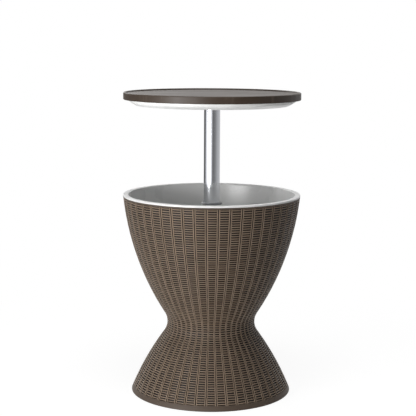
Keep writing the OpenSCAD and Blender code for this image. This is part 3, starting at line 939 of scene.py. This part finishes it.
def grown(name: str, seed_mesh: bpy.types.Mesh, tree: bpy.types.GeometryNodeTree,
          values: Mapping[str, Value]) -> bpy.types.Mesh:
    """Runs a geometry tree on a mesh and keeps what it makes as a plain mesh.

    Args:
        name: The new mesh's name.
        seed_mesh: The mesh that the tree starts from.
        tree: The tree.
        values: The tree's inputs by name.

    Returns:
        The plain mesh.
    """
    carrier = bpy.data.objects.new(name, seed_mesh)
    bpy.context.scene.collection.objects.link(carrier)
    step = carrier.modifiers.new("grow", "NODES")
    step.node_group = tree
    for item in tree.interface.items_tree:
        if item.item_type == "SOCKET" and item.in_out == "INPUT" and item.name in values:
            step[item.identifier] = values[item.name]
    result = bpy.data.meshes.new_from_object(carrier.evaluated_get(bpy.context.evaluated_depsgraph_get()))
    result.name = name
    bpy.data.objects.remove(carrier)
    return result


def line_mesh(points: Sequence[Point]) -> bpy.types.Mesh:
    """A chain of edges in the plane of +X and +Z.

    Args:
        points: Radius and height of each point of the chain.

    Returns:
        Its mesh.
    """
    mesh = bpy.data.meshes.new("run")
    mesh.from_pydata([(radius, 0.0, height) for radius, height in points],
                     [(i, i + 1) for i in range(len(points) - 1)], [])
    return mesh


@dataclass
class WeaveTrees:
    """The two geometry trees of the weave, which the bowl and the base share.

    The waves are the scales of the noises that bend the rows, bend the strands and vary their width. A
    rung's thickness and height vary between shares of its own, and it stands out or in at random by a
    share of its play. The end values space its four rings, so that its ends are short and rounded. Its
    grain is its length as the fibres see it, and the tint steps on from each strand to the next.
    """

    COMMON = {"Stakes": Kind.COUNT, "Seed": Kind.COUNT, "Material": Kind.MATERIAL} | dict.fromkeys(
        ("Turn", "Pair Half Turn", "Drain Height", "Drain Clear"), Kind.NUMBER)
    row_waves: float = 9.0
    strand_waves: float = 34.0
    width_waves: float = 95.0
    thickness_shares: Point = (0.93, 1.05)
    height_shares: Point = (0.9, 1.04)
    swell_share: float = 0.6
    end_spacing: float = 1.9
    end_draw: float = 3.6
    rung_grain: float = 22 * MM
    tint_step: float = 0.618
    sides: int = 8

    def __post_init__(self) -> None:
        """Builds both trees."""
        self.rungs = self.rung_tree()
        self.strands = self.strand_tree()

    def rung_tree(self) -> bpy.types.GeometryNodeTree:
        """Rows of rounded rungs up an outline, one in each space between two pairs of strands.

        Returns:
            The tree, which starts from a chain of edges up the outline.
        """
        graph = GrowGraph("weave_rungs", self.COMMON | {"Rows": Kind.COUNT} | dict.fromkeys(
            ("Height", "Thickness", "Bulge", "Play", "Wander"), Kind.NUMBER))
        rows = graph.add("GeometryNodeResampleCurve", {
            "Curve": graph.curve(graph.given("Geometry")), "Count": graph.given("Rows")})
        spots = graph.add("GeometryNodeCurveToPoints", {"Curve": rows.outputs[0]}, mode="EVALUATED")
        copies = graph.add("GeometryNodeDuplicateElements", {
            "Geometry": spots.outputs["Points"], "Amount": graph.given("Stakes")}, domain="POINT")
        step = graph.math("DIVIDE", FULL_TURN, graph.given("Stakes"))
        angle = graph.math("MULTIPLY_ADD", copies.outputs["Duplicate Index"], step, graph.given("Turn"))
        place = graph.turned(graph.position(), angle)
        along = graph.turned(SIDEWAYS, angle)
        up = graph.turned(spots.outputs["Tangent"], angle)
        outward = graph.vector("CROSS_PRODUCT", along, up)
        play, wander = graph.given("Play"), graph.given("Wander")
        wave = graph.swung(graph.noise(place, self.row_waves, detail=1.0),
                           graph.times(wander, -0.5), graph.times(wander, 0.5))
        rise = graph.plus(wave, graph.random(graph.times(play, -1.0), play, Draw.RISE))
        swell = graph.random(graph.times(play, -self.swell_share), graph.times(play, self.swell_share),
                             Draw.SWELL)
        shift = graph.vector("ADD", graph.scaled(up, rise), graph.scaled(outward, swell))
        placed = graph.moved(copies.outputs[0], graph.vector("ADD", place, shift))
        x, y, _ = graph.parts(graph.position())
        open_turn = graph.minus(step, graph.times(graph.given("Pair Half Turn"), 2.0))
        lean = graph.add("FunctionNodeAxesToRotation", {0: along, 1: outward},
                         primary_axis="Z", secondary_axis="X")
        size = graph.joined(graph.random(*self.thickness_shares, Draw.THICKNESS),
                            graph.random(*self.height_shares, Draw.HEIGHT),
                            graph.times(graph.diagonal(x, y), open_turn))
        rungs = graph.add("GeometryNodeInstanceOnPoints", {
            "Points": graph.without(placed, graph.near_drain()), "Instance": self.rung(graph),
            "Rotation": lean.outputs[0], "Scale": size})
        return graph.finished(graph.stored(rungs.outputs[0], "tint", graph.random(0.0, 1.0, Draw.TINT),
                                           domain=Domain.INSTANCE))

    def rung(self, graph: GrowGraph) -> bpy.types.NodeSocket:
        """One rung, 1 long: oval across, swelling outwards in the middle and closed at its ends.

        Args:
            graph: The tree's graph.

        Returns:
            The rung's mesh, along Z, with its outer side towards +X.
        """
        bar = graph.add("GeometryNodeMeshCylinder", {
            "Vertices": self.sides, "Side Segments": 3, "Fill Segments": 1, "Radius": 1.0, "Depth": 1.0})
        x, y, z = graph.parts(graph.position())
        spaced = graph.times(z, graph.minus(self.end_spacing, graph.times(
            graph.square(graph.math("ABSOLUTE", z)), self.end_draw)))
        out = graph.minus(1.0, graph.square(graph.math("ABSOLUTE", graph.times(spaced, 2.0))))
        swollen = graph.plus(graph.times(graph.times(x, 0.5), graph.given("Thickness")),
                             graph.times(out, graph.given("Bulge")))
        high = graph.times(graph.times(y, 0.5), graph.given("Height"))
        # Crown is 1 on the rung's outer face, 0.5 on its top and bottom edges and 0 inside: the finish paints
        # the outer face pale as a painted highlight and the edges dark as painted shade
        crowned = graph.stored(bar.outputs["Mesh"], "crown", graph.math("MULTIPLY_ADD", x, 0.5, 0.5))
        shaped = graph.moved(crowned, graph.joined(swollen, high, spaced))
        grain = graph.vector("MULTIPLY", graph.position(), (1.0, 1.0, self.rung_grain))
        return graph.stored(shaped, "grain", grain, Data.VECTOR)

    def strand_tree(self) -> bpy.types.GeometryNodeTree:
        """Pairs of upright strands, which narrow with the radius and stop at the drain's pad.

        Returns:
            The tree, which starts from a chain of edges up the outline.
        """
        graph = GrowGraph("weave_strands", self.COMMON | dict.fromkeys(
            ("Width", "Thickness", "Full Radius", "Narrow", "Wander", "Width Play"), Kind.NUMBER))
        step = graph.math("DIVIDE", FULL_TURN, graph.given("Stakes"))
        copies = graph.add("GeometryNodeDuplicateElements", {
            "Geometry": graph.curve(graph.given("Geometry")),
            "Amount": graph.times(graph.given("Stakes"), 2.0)}, domain="SPLINE")
        index = copies.outputs["Duplicate Index"]
        pair = graph.math("FLOOR", graph.math("DIVIDE", index, 2.0))
        side = graph.minus(graph.times(graph.math("MODULO", index, 2.0), 2.0), 1.0)
        middle = graph.math("MULTIPLY_ADD", graph.plus(pair, 0.5), step, graph.given("Turn"))
        angle = graph.math("MULTIPLY_ADD", side, graph.given("Pair Half Turn"), middle)
        place = graph.turned(graph.position(), angle)
        wave = graph.times(graph.minus(graph.noise(place, self.strand_waves, detail=1.0), 0.5),
                           graph.given("Wander"))
        bent = graph.vector("ADD", place, graph.scaled(graph.turned(SIDEWAYS, angle), wave))
        tinted = graph.stored(graph.moved(copies.outputs[0], bent), "tint", graph.math(
            "FRACT", graph.times(graph.plus(index, graph.given("Seed")), self.tint_step)))
        edges = graph.add("GeometryNodeCurveToMesh", {"Curve": tinted}).outputs[0]
        spot = graph.position()
        flat = graph.vector("MULTIPLY", spot, (1.0, 1.0, 0.0))
        across = graph.vector("NORMALIZE", graph.vector("CROSS_PRODUCT", UPWARD, flat))
        aimed = graph.add("GeometryNodeSetCurveNormal", {
            "Curve": graph.curve(graph.without(edges, graph.near_drain())), "Normal": across}, mode="FREE")
        share = graph.math("DIVIDE", graph.vector("LENGTH", flat), graph.given("Full Radius"))
        narrow, play = graph.given("Narrow"), graph.given("Width Play")
        width = graph.times(
            graph.plus(narrow, graph.times(share, graph.minus(1.0, narrow))),
            graph.swung(graph.noise(spot, self.width_waves, detail=1.0), graph.minus(1.0, play),
                        graph.plus(1.0, play)))
        tube = graph.add("GeometryNodeCurveToMesh", {
            "Curve": graph.stored(aimed.outputs[0], "run", graph.parts(spot)[2]),
            "Profile Curve": self.section(graph), "Scale": width, "Fill Caps": True})
        grain = graph.vector("ADD", graph.kept("section", Data.VECTOR),
                             graph.joined(0.0, 0.0, graph.kept("run", Data.NUMBER)))
        return graph.finished(graph.stored(tube.outputs[0], "grain", grain, Data.VECTOR))

    def section(self, graph: GrowGraph) -> bpy.types.NodeSocket:
        """The oval section of a strand, which keeps how far each point stands out.

        Args:
            graph: The tree's graph.

        Returns:
            The section's curve.
        """
        circle = graph.add("GeometryNodeCurvePrimitiveCircle", {"Resolution": self.sides, "Radius": 0.5},
                           mode="RADIUS")
        x, y, _ = graph.parts(graph.position())
        # Crown is 1 on the strand's outer face and falls to 0 on its inner one: the finish paints the outer
        # face pale as a painted highlight and the sides dark as painted shade
        crowned = graph.stored(circle.outputs[0], "crown", graph.minus(0.5, y))
        oval = graph.moved(crowned, graph.joined(
            graph.times(x, graph.given("Width")), graph.times(y, graph.given("Thickness")), 0.0))
        return graph.stored(oval, "section", graph.position(), Data.VECTOR)


@dataclass
class WickerShell:
    """What the bowl and the base share: a plain shell, with the weave standing on it.

    A point of the shell counts as woven ground where its depth is between the two ground shares of the
    ground's own, and gets crown 0 there, which the finish paints dark as painted shade, and the plain crown
    elsewhere. The weave's ends tuck under the plain bands.
    """

    outline: Hourglass
    weave: Weave
    trees: WeaveTrees
    material: bpy.types.Material
    plain: bpy.types.Material
    drain: DrainPlace
    seam: float = 195 * MM
    segments: int = 192
    edge: float = 0.8 * MM
    plain_crown: float = 0.78
    plain_tint: float = 0.5
    ground_share: Point = (0.8, 1.45)
    weave_tuck: float = 0.3 * MM
    seam_gap: float = 0.4 * MM

    def crown(self, mesh: bpy.types.Mesh, low: float, high: float) -> None:
        """Marks the woven ground as deep, for the finish's painted shade, and everything else as plain wall.

        Args:
            mesh: The shell's mesh.
            low: The lowest height of the weave.
            high: The highest.
        """
        crown = mesh.attributes.new("crown", "FLOAT", "POINT")
        tint = mesh.attributes.new("tint", "FLOAT", "POINT")
        shallow, deep = (self.weave.ground_depth * share for share in self.ground_share)
        for vertex in mesh.vertices:
            place = vertex.co
            woven = low - MM < place.z < high + MM and shallow < self.outline.sunk(place) < deep
            # Crown 0 on the woven ground gives it the finish's painted shade
            crown.data[vertex.index].value = 0.0 if woven else self.plain_crown
            tint.data[vertex.index].value = self.plain_tint

    def add_plain(self, name: str, mesh: bpy.types.Mesh, woven: Point = (0.0, 0.0),
                  replaced: Sequence[str] = ()) -> None:
        """Adds a piece with the plain shell's finish and smooth shading.

        Args:
            name: The piece's name.
            mesh: Its mesh.
            woven: From which height to which the weave covers it.
            replaced: The frame's nodes that it stands for.
        """
        self.crown(mesh, *woven)
        mesh.materials.clear()
        mesh.materials.append(self.plain)
        shown(name, smoothed(mesh), Body.STAND, replaced)

    def add_weave(self, name: str, tree: bpy.types.GeometryNodeTree, run: Sequence[Point],
                  values: Mapping[str, Value]) -> None:
        """Grows rungs or strands up the outline and adds them.

        Args:
            name: The piece's name.
            tree: The tree that makes it.
            run: Radius and height of points up the outline.
            values: The tree's own inputs by name.
        """
        weave = self.weave
        common = {"Stakes": weave.stakes, "Turn": weave.turn, "Pair Half Turn": weave.pair_half_turn,
                  "Drain Height": self.drain.height, "Material": self.material}
        shown(name, grown(name, line_mesh(run), tree, common | values), Body.STAND)

    def woven(self, name: str, low: float, high: float, rows: int, seed: int, drained: bool) -> None:
        """Adds the rungs and the strands from one height to another.

        Args:
            name: What the shell is called.
            low: Where the weave starts.
            high: Where it ends.
            rows: How many rows of rungs it has.
            seed: The seed of what is random in it.
            drained: Whether the drain's pad stands in it.
        """
        weave, outline, drain = self.weave, self.outline, self.drain
        half_row = (high - low) / rows / 2
        rows_run = outline.side(low + half_row, high - half_row, weave.rung_depth, weave.strand_step)
        self.add_weave(f"{name}_rungs", self.trees.rungs, rows_run, {
            "Rows": rows, "Height": weave.rung_height, "Thickness": weave.rung_thickness,
            "Bulge": weave.rung_bulge, "Play": weave.rung_play, "Wander": weave.row_wander,
            "Seed": seed, "Drain Clear": drain.pad_radius if drained else 0.0})
        strand_run = outline.side(low, high, weave.strand_depth, weave.strand_step)
        self.add_weave(f"{name}_strands", self.trees.strands, strand_run, {
            "Width": weave.strand_width, "Thickness": weave.strand_thickness,
            "Full Radius": outline.rim_radius, "Narrow": weave.strand_narrow,
            "Wander": weave.strand_wander, "Width Play": weave.width_play,
            "Seed": seed, "Drain Clear": drain.reach - drain.strand_lap if drained else 0.0})


@dataclass
class Bowl(WickerShell):
    """The wicker bowl, from the waist to the rim, with the drain's pad in its back."""

    band: float = 5 * MM
    rim_round: float = 0.8 * MM
    web: float = 4 * MM
    hub_radius: float = 35.8 * MM
    drill_run: Point = (140 * MM, 200 * MM)
    rows: int = 59
    seed: int = 11
    boss_count: int = 6
    boss_circle: float = 85 * MM
    boss_radius: float = 7 * MM
    boss_height: float = 16 * MM
    boss_bevel: float = 1 * MM
    boss_bore: float = 3.15 * MM
    boss_depth: float = 14 * MM
    boss_vent: float = 0.6 * MM
    boss_sides: int = 32

    def shell(self) -> bpy.types.Mesh:
        """The plain shell: the wall, the band under the rim, the floor web and the drain's hole.

        Returns:
            Its mesh.
        """
        outline, weave = self.outline, self.weave
        top, band = outline.rim_height, outline.rim_height - self.band
        ground = outline.side(self.seam + self.edge, band - self.edge, weave.ground_depth)
        inner = outline.side(self.seam + self.web, top, weave.shell_inside)
        rings = filleted(
            [(self.hub_radius, self.seam, 0.0), (ground[0][0] - self.edge, self.seam, 0.0)]
            + plain(ground)
            + [(outline.radius(band, BAND_DEPTH), band, self.rim_round),
               (outline.rim_radius - SKIN, top - self.rim_round, 0.0),
               (outline.rim_radius - self.rim_round, top, 0.0)]
            + plain(inner[::-1])
            + [(self.hub_radius, self.seam + self.web, 0.0)])
        ends = (Vector((0, distance, self.drain.height)) for distance in self.drill_run)
        return bored(revolved("bowl_shell", rings, self.segments), rod(self.drain.hole_radius, *ends))

    def back_at(self, radius: float, turn: float, depth: float) -> float:
        """How far behind the pole the bowl is at a distance and a turn about the drain, and a depth."""
        height = self.drain.height + radius * math.sin(turn)
        return math.sqrt(self.outline.radius(height, depth) ** 2 - (radius * math.cos(turn)) ** 2)

    def seat_section(self, turn: float, face: float) -> list[Point]:
        """The drain's pad and collar, cut along their axis.

        Args:
            turn: The cut's turn about the drain's axis.
            face: How far back the pad's face stands.

        Returns:
            The outline: how far each point is from the drain's axis, and how far behind the pole.
        """
        drain = self.drain
        pad, reach, hole, edge = drain.pad_radius, drain.reach, drain.hole_radius, drain.edge
        inside = self.weave.shell_inside - drain.inside_cover
        hole_back, reach_back = (min(self.back_at(radius, turn, inside), face - drain.plate)
                                 for radius in (hole, reach))
        wall = self.back_at(pad, turn, SKIN)
        lip = edge if wall < face else -edge
        return [(hole, hole_back), (hole, face - edge), (hole + edge, face), (pad - edge, face),
                (pad, face - lip), (pad, wall), (reach - edge, self.back_at(reach, turn, SKIN)),
                (reach, self.back_at(reach, turn, SKIN + edge)), (reach, reach_back)]

    def seat(self, face: float) -> bpy.types.Mesh:
        """The drain's round pad and the plain collar that follows the shell round it.

        Args:
            face: How far back the pad's face stands.

        Returns:
            Its mesh, a ring about the drain's axis.
        """
        return lofted("drain_seat", [
            [(radius * math.cos(turn), back, self.drain.height + radius * math.sin(turn))
             for radius, back in self.seat_section(turn, face)]
            for turn in turns(self.drain.sides)])

    def bosses(self) -> bpy.types.Mesh:
        """The screw bosses on the floor web.

        Returns:
            One mesh with all of them.
        """
        bore, outer, top, vent = self.boss_bore, self.boss_radius, self.boss_height, self.boss_vent
        section = [(bore, 0.0), (outer, 0.0), (outer, top - self.boss_bevel), (outer - self.boss_bevel, top),
                   (vent, top), (vent, self.boss_depth), (bore, self.boss_depth)]
        form = bmesh.new()
        for turn in turns(self.boss_count):
            boss = revolved("boss", section, self.boss_sides)
            boss.transform(Matrix.Translation((
                self.boss_circle * math.cos(turn), self.boss_circle * math.sin(turn), self.seam)))
            form.from_mesh(boss)
        return closed("bowl_bosses", form)

    def build(self) -> None:
        """Adds the bowl's pieces."""
        weave_top = self.outline.rim_height - self.band
        self.add_plain("bowl_shell", self.shell(), (self.seam, weave_top), ["upper_shell"])
        self.add_plain("drain_seat", self.seat(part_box("drain_nut")[0].y))
        self.add_plain("bowl_bosses", self.bosses())
        self.woven("bowl", self.seam + self.seam_gap, weave_top + self.weave_tuck, self.rows, self.seed, True)


@dataclass
class Base(WickerShell):
    """The wicker base, from the floor to the waist, hollow below, with the socket for the column."""

    band: float = 15 * MM
    band_round: float = 0.6 * MM
    foot_round: float = 4 * MM
    foot_rise: float = 1.6
    ring_width: float = 16 * MM
    ring_height: float = 4 * MM
    deck: float = 5 * MM
    deck_round: float = 2.5 * MM
    socket_bore: float = 29.8 * MM
    socket_outer: float = 33.8 * MM
    socket_floor: float = 158.2 * MM
    socket_wall: float = 4 * MM
    socket_rounds: Point = (1.2 * MM, 2 * MM)
    bolt_hole: float = 4.15 * MM
    rib_count: int = 6
    rib_thickness: float = 3 * MM
    rib_lap: float = 1 * MM
    rib_depth: float = 4.2 * MM
    rib_pitch: float = 8 * MM
    rows: int = 32
    seed: int = 23

    def shell(self) -> bpy.types.Mesh:
        """The plain shell: the foot, the wall, the deck and the socket.

        Returns:
            Its mesh.
        """
        outline, weave = self.outline, self.weave
        deck_low = self.seam - self.deck
        socket_top = self.socket_floor + self.socket_wall
        ground = outline.side(self.band + self.edge, self.seam - self.edge, weave.ground_depth)
        inner = outline.side(self.ring_height, deck_low, weave.shell_inside)
        foot = outline.radius(0.0, SKIN)
        rings = filleted(
            [(foot - self.ring_width, 0.0, 0.0), (foot, 0.0, self.foot_round)]
            + plain(outline.side(self.foot_round * self.foot_rise, self.band - self.edge, SKIN))
            + [(outline.radius(self.band, BAND_DEPTH), self.band, self.band_round)]
            + plain(ground)
            + [(ground[-1][0] - self.edge, self.seam, 0.0),
               (self.socket_bore, self.seam, self.band_round),
               (self.socket_bore, socket_top, 0.0),
               (self.bolt_hole, socket_top, 0.0),
               (self.bolt_hole, self.socket_floor, 0.0),
               (self.socket_outer, self.socket_floor, self.socket_rounds[0]),
               (self.socket_outer, deck_low, self.socket_rounds[1]),
               (inner[-1][0], deck_low, self.deck_round)]
            + plain(inner[-2:0:-1])
            + [(inner[0][0], self.ring_height, 0.0),
               (foot - self.ring_width, self.ring_height, self.band_round)])
        return revolved("base_shell", rings, self.segments)

    def ribs(self) -> bpy.types.Mesh:
        """The ribs in the angle between the socket, the deck and the base's side.

        Returns:
            One mesh with all of them.
        """
        low, high = self.socket_floor + self.rib_lap, self.seam - self.deck / 2
        inward = self.socket_outer - self.rib_lap
        outer = self.outline.side(low, high, self.rib_depth, self.rib_pitch)
        edge = [(inward, low), *outer, (inward, high)]
        form = bmesh.new()
        for turn in turns(self.rib_count, 0.5):
            swing = Matrix.Rotation(turn, 3, "Z")
            faces = []
            for side in (-1, 1):
                faces.append([form.verts.new(swing @ Vector((radius, side * self.rib_thickness / 2, height)))
                              for radius, height in edge])
                form.faces.new(faces[-1])
            for j in range(len(edge)):
                k = (j + 1) % len(edge)
                form.faces.new((faces[0][j], faces[0][k], faces[1][k], faces[1][j]))
        return closed("base_ribs", form)

    def build(self) -> None:
        """Adds the base's pieces."""
        self.add_plain("base_shell", self.shell(), (self.band, self.seam), ["lower_shell"])
        self.add_plain("base_ribs", self.ribs())
        low, high = self.band - self.weave_tuck, self.seam - self.seam_gap
        self.woven("base", low, high, self.rows, self.seed, False)


class FrameDress:
    """Which finish each of the frame's own pieces gets: its own, or else its slot's.

    The two shells of wicker have none, because pieces of the scene stand for them.
    """

    OWN = {"table_top": "tray"}
    BY_SLOT = {Slot.BROWN: "dark", Slot.WHITE: "white", Slot.POLE: "pole", Slot.GREY: "grey",
               Slot.STEEL: "steel", Slot.RUBBER: "rubber"}

    def build(self, frame: Mapping[str, Any], materials: Mapping[str, bpy.types.Material]) -> None:
        """Puts the materials on the frame's pieces.

        Args:
            materials: The materials by finish.
        """
        for part in frame["record"]["subparts"]:
            node = part["node"]
            finish = self.OWN.get(node) or self.BY_SLOT.get(Slot(part["material_slot"]))
            if finish:
                piece = frame["nodes"][node]
                piece.data.materials.clear()
                piece.data.materials.append(materials[finish])
                LOG.info("%s: %s", node, finish)


@dataclass(frozen=True)
class Lamp:
    """A square soft lamp: its place, the side of its face and its power in watts."""

    name: str
    place: Place
    size: float
    power: float


@dataclass(frozen=True)
class Studio:
    """The camera, the floor and the light of a plain product photograph.

    The walls are what glosses see round the compass, from the back by the left, the front and the right
    to the back again: the share of the way, and how bright the wall or the dark panel is there.
    """

    camera_place: Place = (-0.0101, -3.2936, 1.0074)
    camera_pitch: float = 0.1458
    camera_roll: float = 0.0055
    camera_reach: float = 60.0
    lens: float = 102.0
    sensor: float = 36.0
    floor_radius: float = 2.3
    floor_sides: int = 96
    floor_glow: float = 0.9
    floor_shade: float = 0.2
    floor_fade: Point = (0.45, 1.3)
    floor_bounce: float = 0.92
    ambient: float = 0.04
    sky_rise: Point = (-0.02, 0.06)
    sky_back: Point = (0.3, 0.7)
    walls: tuple[Point, ...] = ((0.0, 0.16), (0.208, 0.10), (0.243, 0.92), (0.478, 0.98), (0.522, 0.14),
                                (0.62, 0.22), (0.72, 0.42), (0.9, 0.62), (1.0, 0.5))
    wall_blue: float = 1.02
    lamps: tuple[Lamp, ...] = (
        Lamp("key", (-2.15, -2.55, 0.36), 1.7, 101.0),
        Lamp("back", (-1.2, 2.6, 2.0), 1.5, 18.0),
        Lamp("top", (0.1, -0.8, 3.2), 1.5, 43.0),
    )
    aim: Place = (0.0, 0.0, 0.42)

    def camera(self) -> None:
        """Sets the camera at the photograph's place."""
        data = bpy.data.cameras.new("camera")
        data.lens, data.sensor_width, data.clip_end = self.lens, self.sensor, self.camera_reach
        camera = bpy.data.objects.new("camera", data)
        tilt = Matrix.Rotation(math.pi / 2 - self.camera_pitch, 4, "X")
        roll = Matrix.Rotation(self.camera_roll, 4, "Z")
        camera.matrix_world = Matrix.Translation(self.camera_place) @ tilt @ roll
        bpy.context.scene.collection.objects.link(camera)
        bpy.context.scene.camera = camera

    def light(self, lamp: Lamp) -> None:
        """Adds a lamp that looks at the table.

        Args:
            lamp: The lamp.
        """
        data = bpy.data.lights.new(lamp.name, "AREA")
        data.shape, data.size, data.energy = "SQUARE", lamp.size, lamp.power
        light = bpy.data.objects.new(lamp.name, data)
        light.location = lamp.place
        light.rotation_euler = (Vector(self.aim) - Vector(lamp.place)).to_track_quat("-Z", "Y").to_euler()
        bpy.context.scene.collection.objects.link(light)

    @staticmethod
    def seen(graph: Graph) -> tuple[bpy.types.NodeSocket, bpy.types.NodeSocket]:
        """Whether a ray comes from the camera or through something clear, and whether from a gloss.

        Args:
            graph: A material's or the world's tree.

        Returns:
            Both as 0 or 1.
        """
        path = graph.add("ShaderNodeLightPath")
        direct = graph.math("MAXIMUM", path.outputs["Is Camera Ray"], path.outputs["Is Transmission Ray"])
        return direct, path.outputs["Is Glossy Ray"]

    def floor_material(self) -> bpy.types.Material:
        """The floor's material: white where nothing shades it, to the camera and to glosses.

        Returns:
            The material, which only scatters light to everything else.
        """
        material = bpy.data.materials.new("floor_white")
        material.use_nodes = True
        material.node_tree.nodes.clear()
        graph = Graph(material.node_tree)
        direct, gloss = self.seen(graph)
        away = graph.vector("LENGTH", graph.add("ShaderNodeTexCoord").outputs["Object"])
        shade, glow = (graph.spread(away, *self.floor_fade, *ends, smooth=True)
                       for ends in ((self.floor_shade, 0.0), (self.floor_glow, 1.0)))
        lit = graph.add("ShaderNodeAddShader", {
            0: graph.add("ShaderNodeBsdfDiffuse", {"Color": graph.scaled(WHITE, shade)}).outputs[0],
            1: graph.add("ShaderNodeEmission", {"Strength": glow}).outputs[0]})
        bounce = graph.add("ShaderNodeBsdfDiffuse", {"Color": (self.floor_bounce,) * 3})
        result = graph.add("ShaderNodeMixShader", {
            0: graph.math("MAXIMUM", direct, gloss), 1: bounce.outputs[0], 2: lit.outputs[0]})
        graph.add("ShaderNodeOutputMaterial", {"Surface": result.outputs[0]})
        return material

    def floor(self) -> None:
        """Lays the floor, which keeps a soft shadow of the table."""
        form = bmesh.new()
        bmesh.ops.create_circle(form, cap_ends=True, segments=self.floor_sides, radius=self.floor_radius)
        mesh = bpy.data.meshes.new("floor")
        form.to_mesh(mesh)
        form.free()
        mesh.materials.append(self.floor_material())
        floor = bpy.data.objects.new("floor", mesh)
        bpy.context.scene.collection.objects.link(floor)
        floor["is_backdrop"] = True

    def world(self) -> None:
        """White to the camera, soft light on the table, and for glosses a studio with dark panels in it."""
        world = bpy.data.worlds.new("studio")
        bpy.context.scene.world = world
        world.use_nodes = True
        world.node_tree.nodes.clear()
        graph = Graph(world.node_tree)
        direct, gloss = self.seen(graph)
        x, y, z = graph.parts(graph.add("ShaderNodeTexCoord").outputs["Generated"])
        compass = graph.math("ARCTAN2", x, graph.times(y, -1.0))
        ramp = graph.add("ShaderNodeValToRGB", {0: graph.spread(compass, -math.pi, math.pi)})
        self.panels(ramp.color_ramp)
        sky = graph.times(graph.spread(z, *self.sky_rise, smooth=True),
                          graph.spread(y, *self.sky_back, smooth=True))
        walls = graph.mixed(sky, ramp.outputs[0], WHITE)
        white, studio, soft = (
            graph.add("ShaderNodeBackground", {"Color": colour, "Strength": strength}).outputs[0]
            for colour, strength in ((WHITE, 1.0), (walls, 1.0), (WHITE, self.ambient)))
        lit = graph.add("ShaderNodeMixShader", {0: gloss, 1: soft, 2: studio})
        result = graph.add("ShaderNodeMixShader", {0: direct, 1: lit.outputs[0], 2: white})
        graph.add("ShaderNodeOutputWorld", {"Surface": result.outputs[0]})

    def panels(self, ramp: bpy.types.ColorRamp) -> None:
        """Lays the studio's walls and dark panels on a ramp.

        Args:
            ramp: The ramp, read round the compass.
        """
        while len(ramp.elements) < len(self.walls):
            ramp.elements.new(0.5)
        for element, (place, level) in zip(ramp.elements, self.walls):
            element.position = place
            element.color = (level, level, level * self.wall_blue, 1.0)

    def build(self) -> None:
        """Sets up the studio."""
        self.camera()
        self.floor()
        self.world()
        for lamp in self.lamps:
            self.light(lamp)
        bpy.context.scene.view_settings.view_transform = "Standard"


def corners() -> list[list[float]]:
    """The whole object's lowest and highest corner as plain numbers."""
    return [[float(value) for value in corner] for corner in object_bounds()]


def main() -> None:
    """Builds the table's pieces in order."""
    logging.basicConfig(level=logging.INFO, format="%(name)s: %(message)s")
    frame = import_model()
    Studio().build()
    materials = Palette().materials()
    FrameDress().build(frame, materials)
    shared = (Hourglass(), Weave(), WeaveTrees(), materials["wicker"], materials["shell"], DrainPlace())
    Bowl(*shared).build()
    Base(*shared).build()


if __name__ == "__main__":
    main()
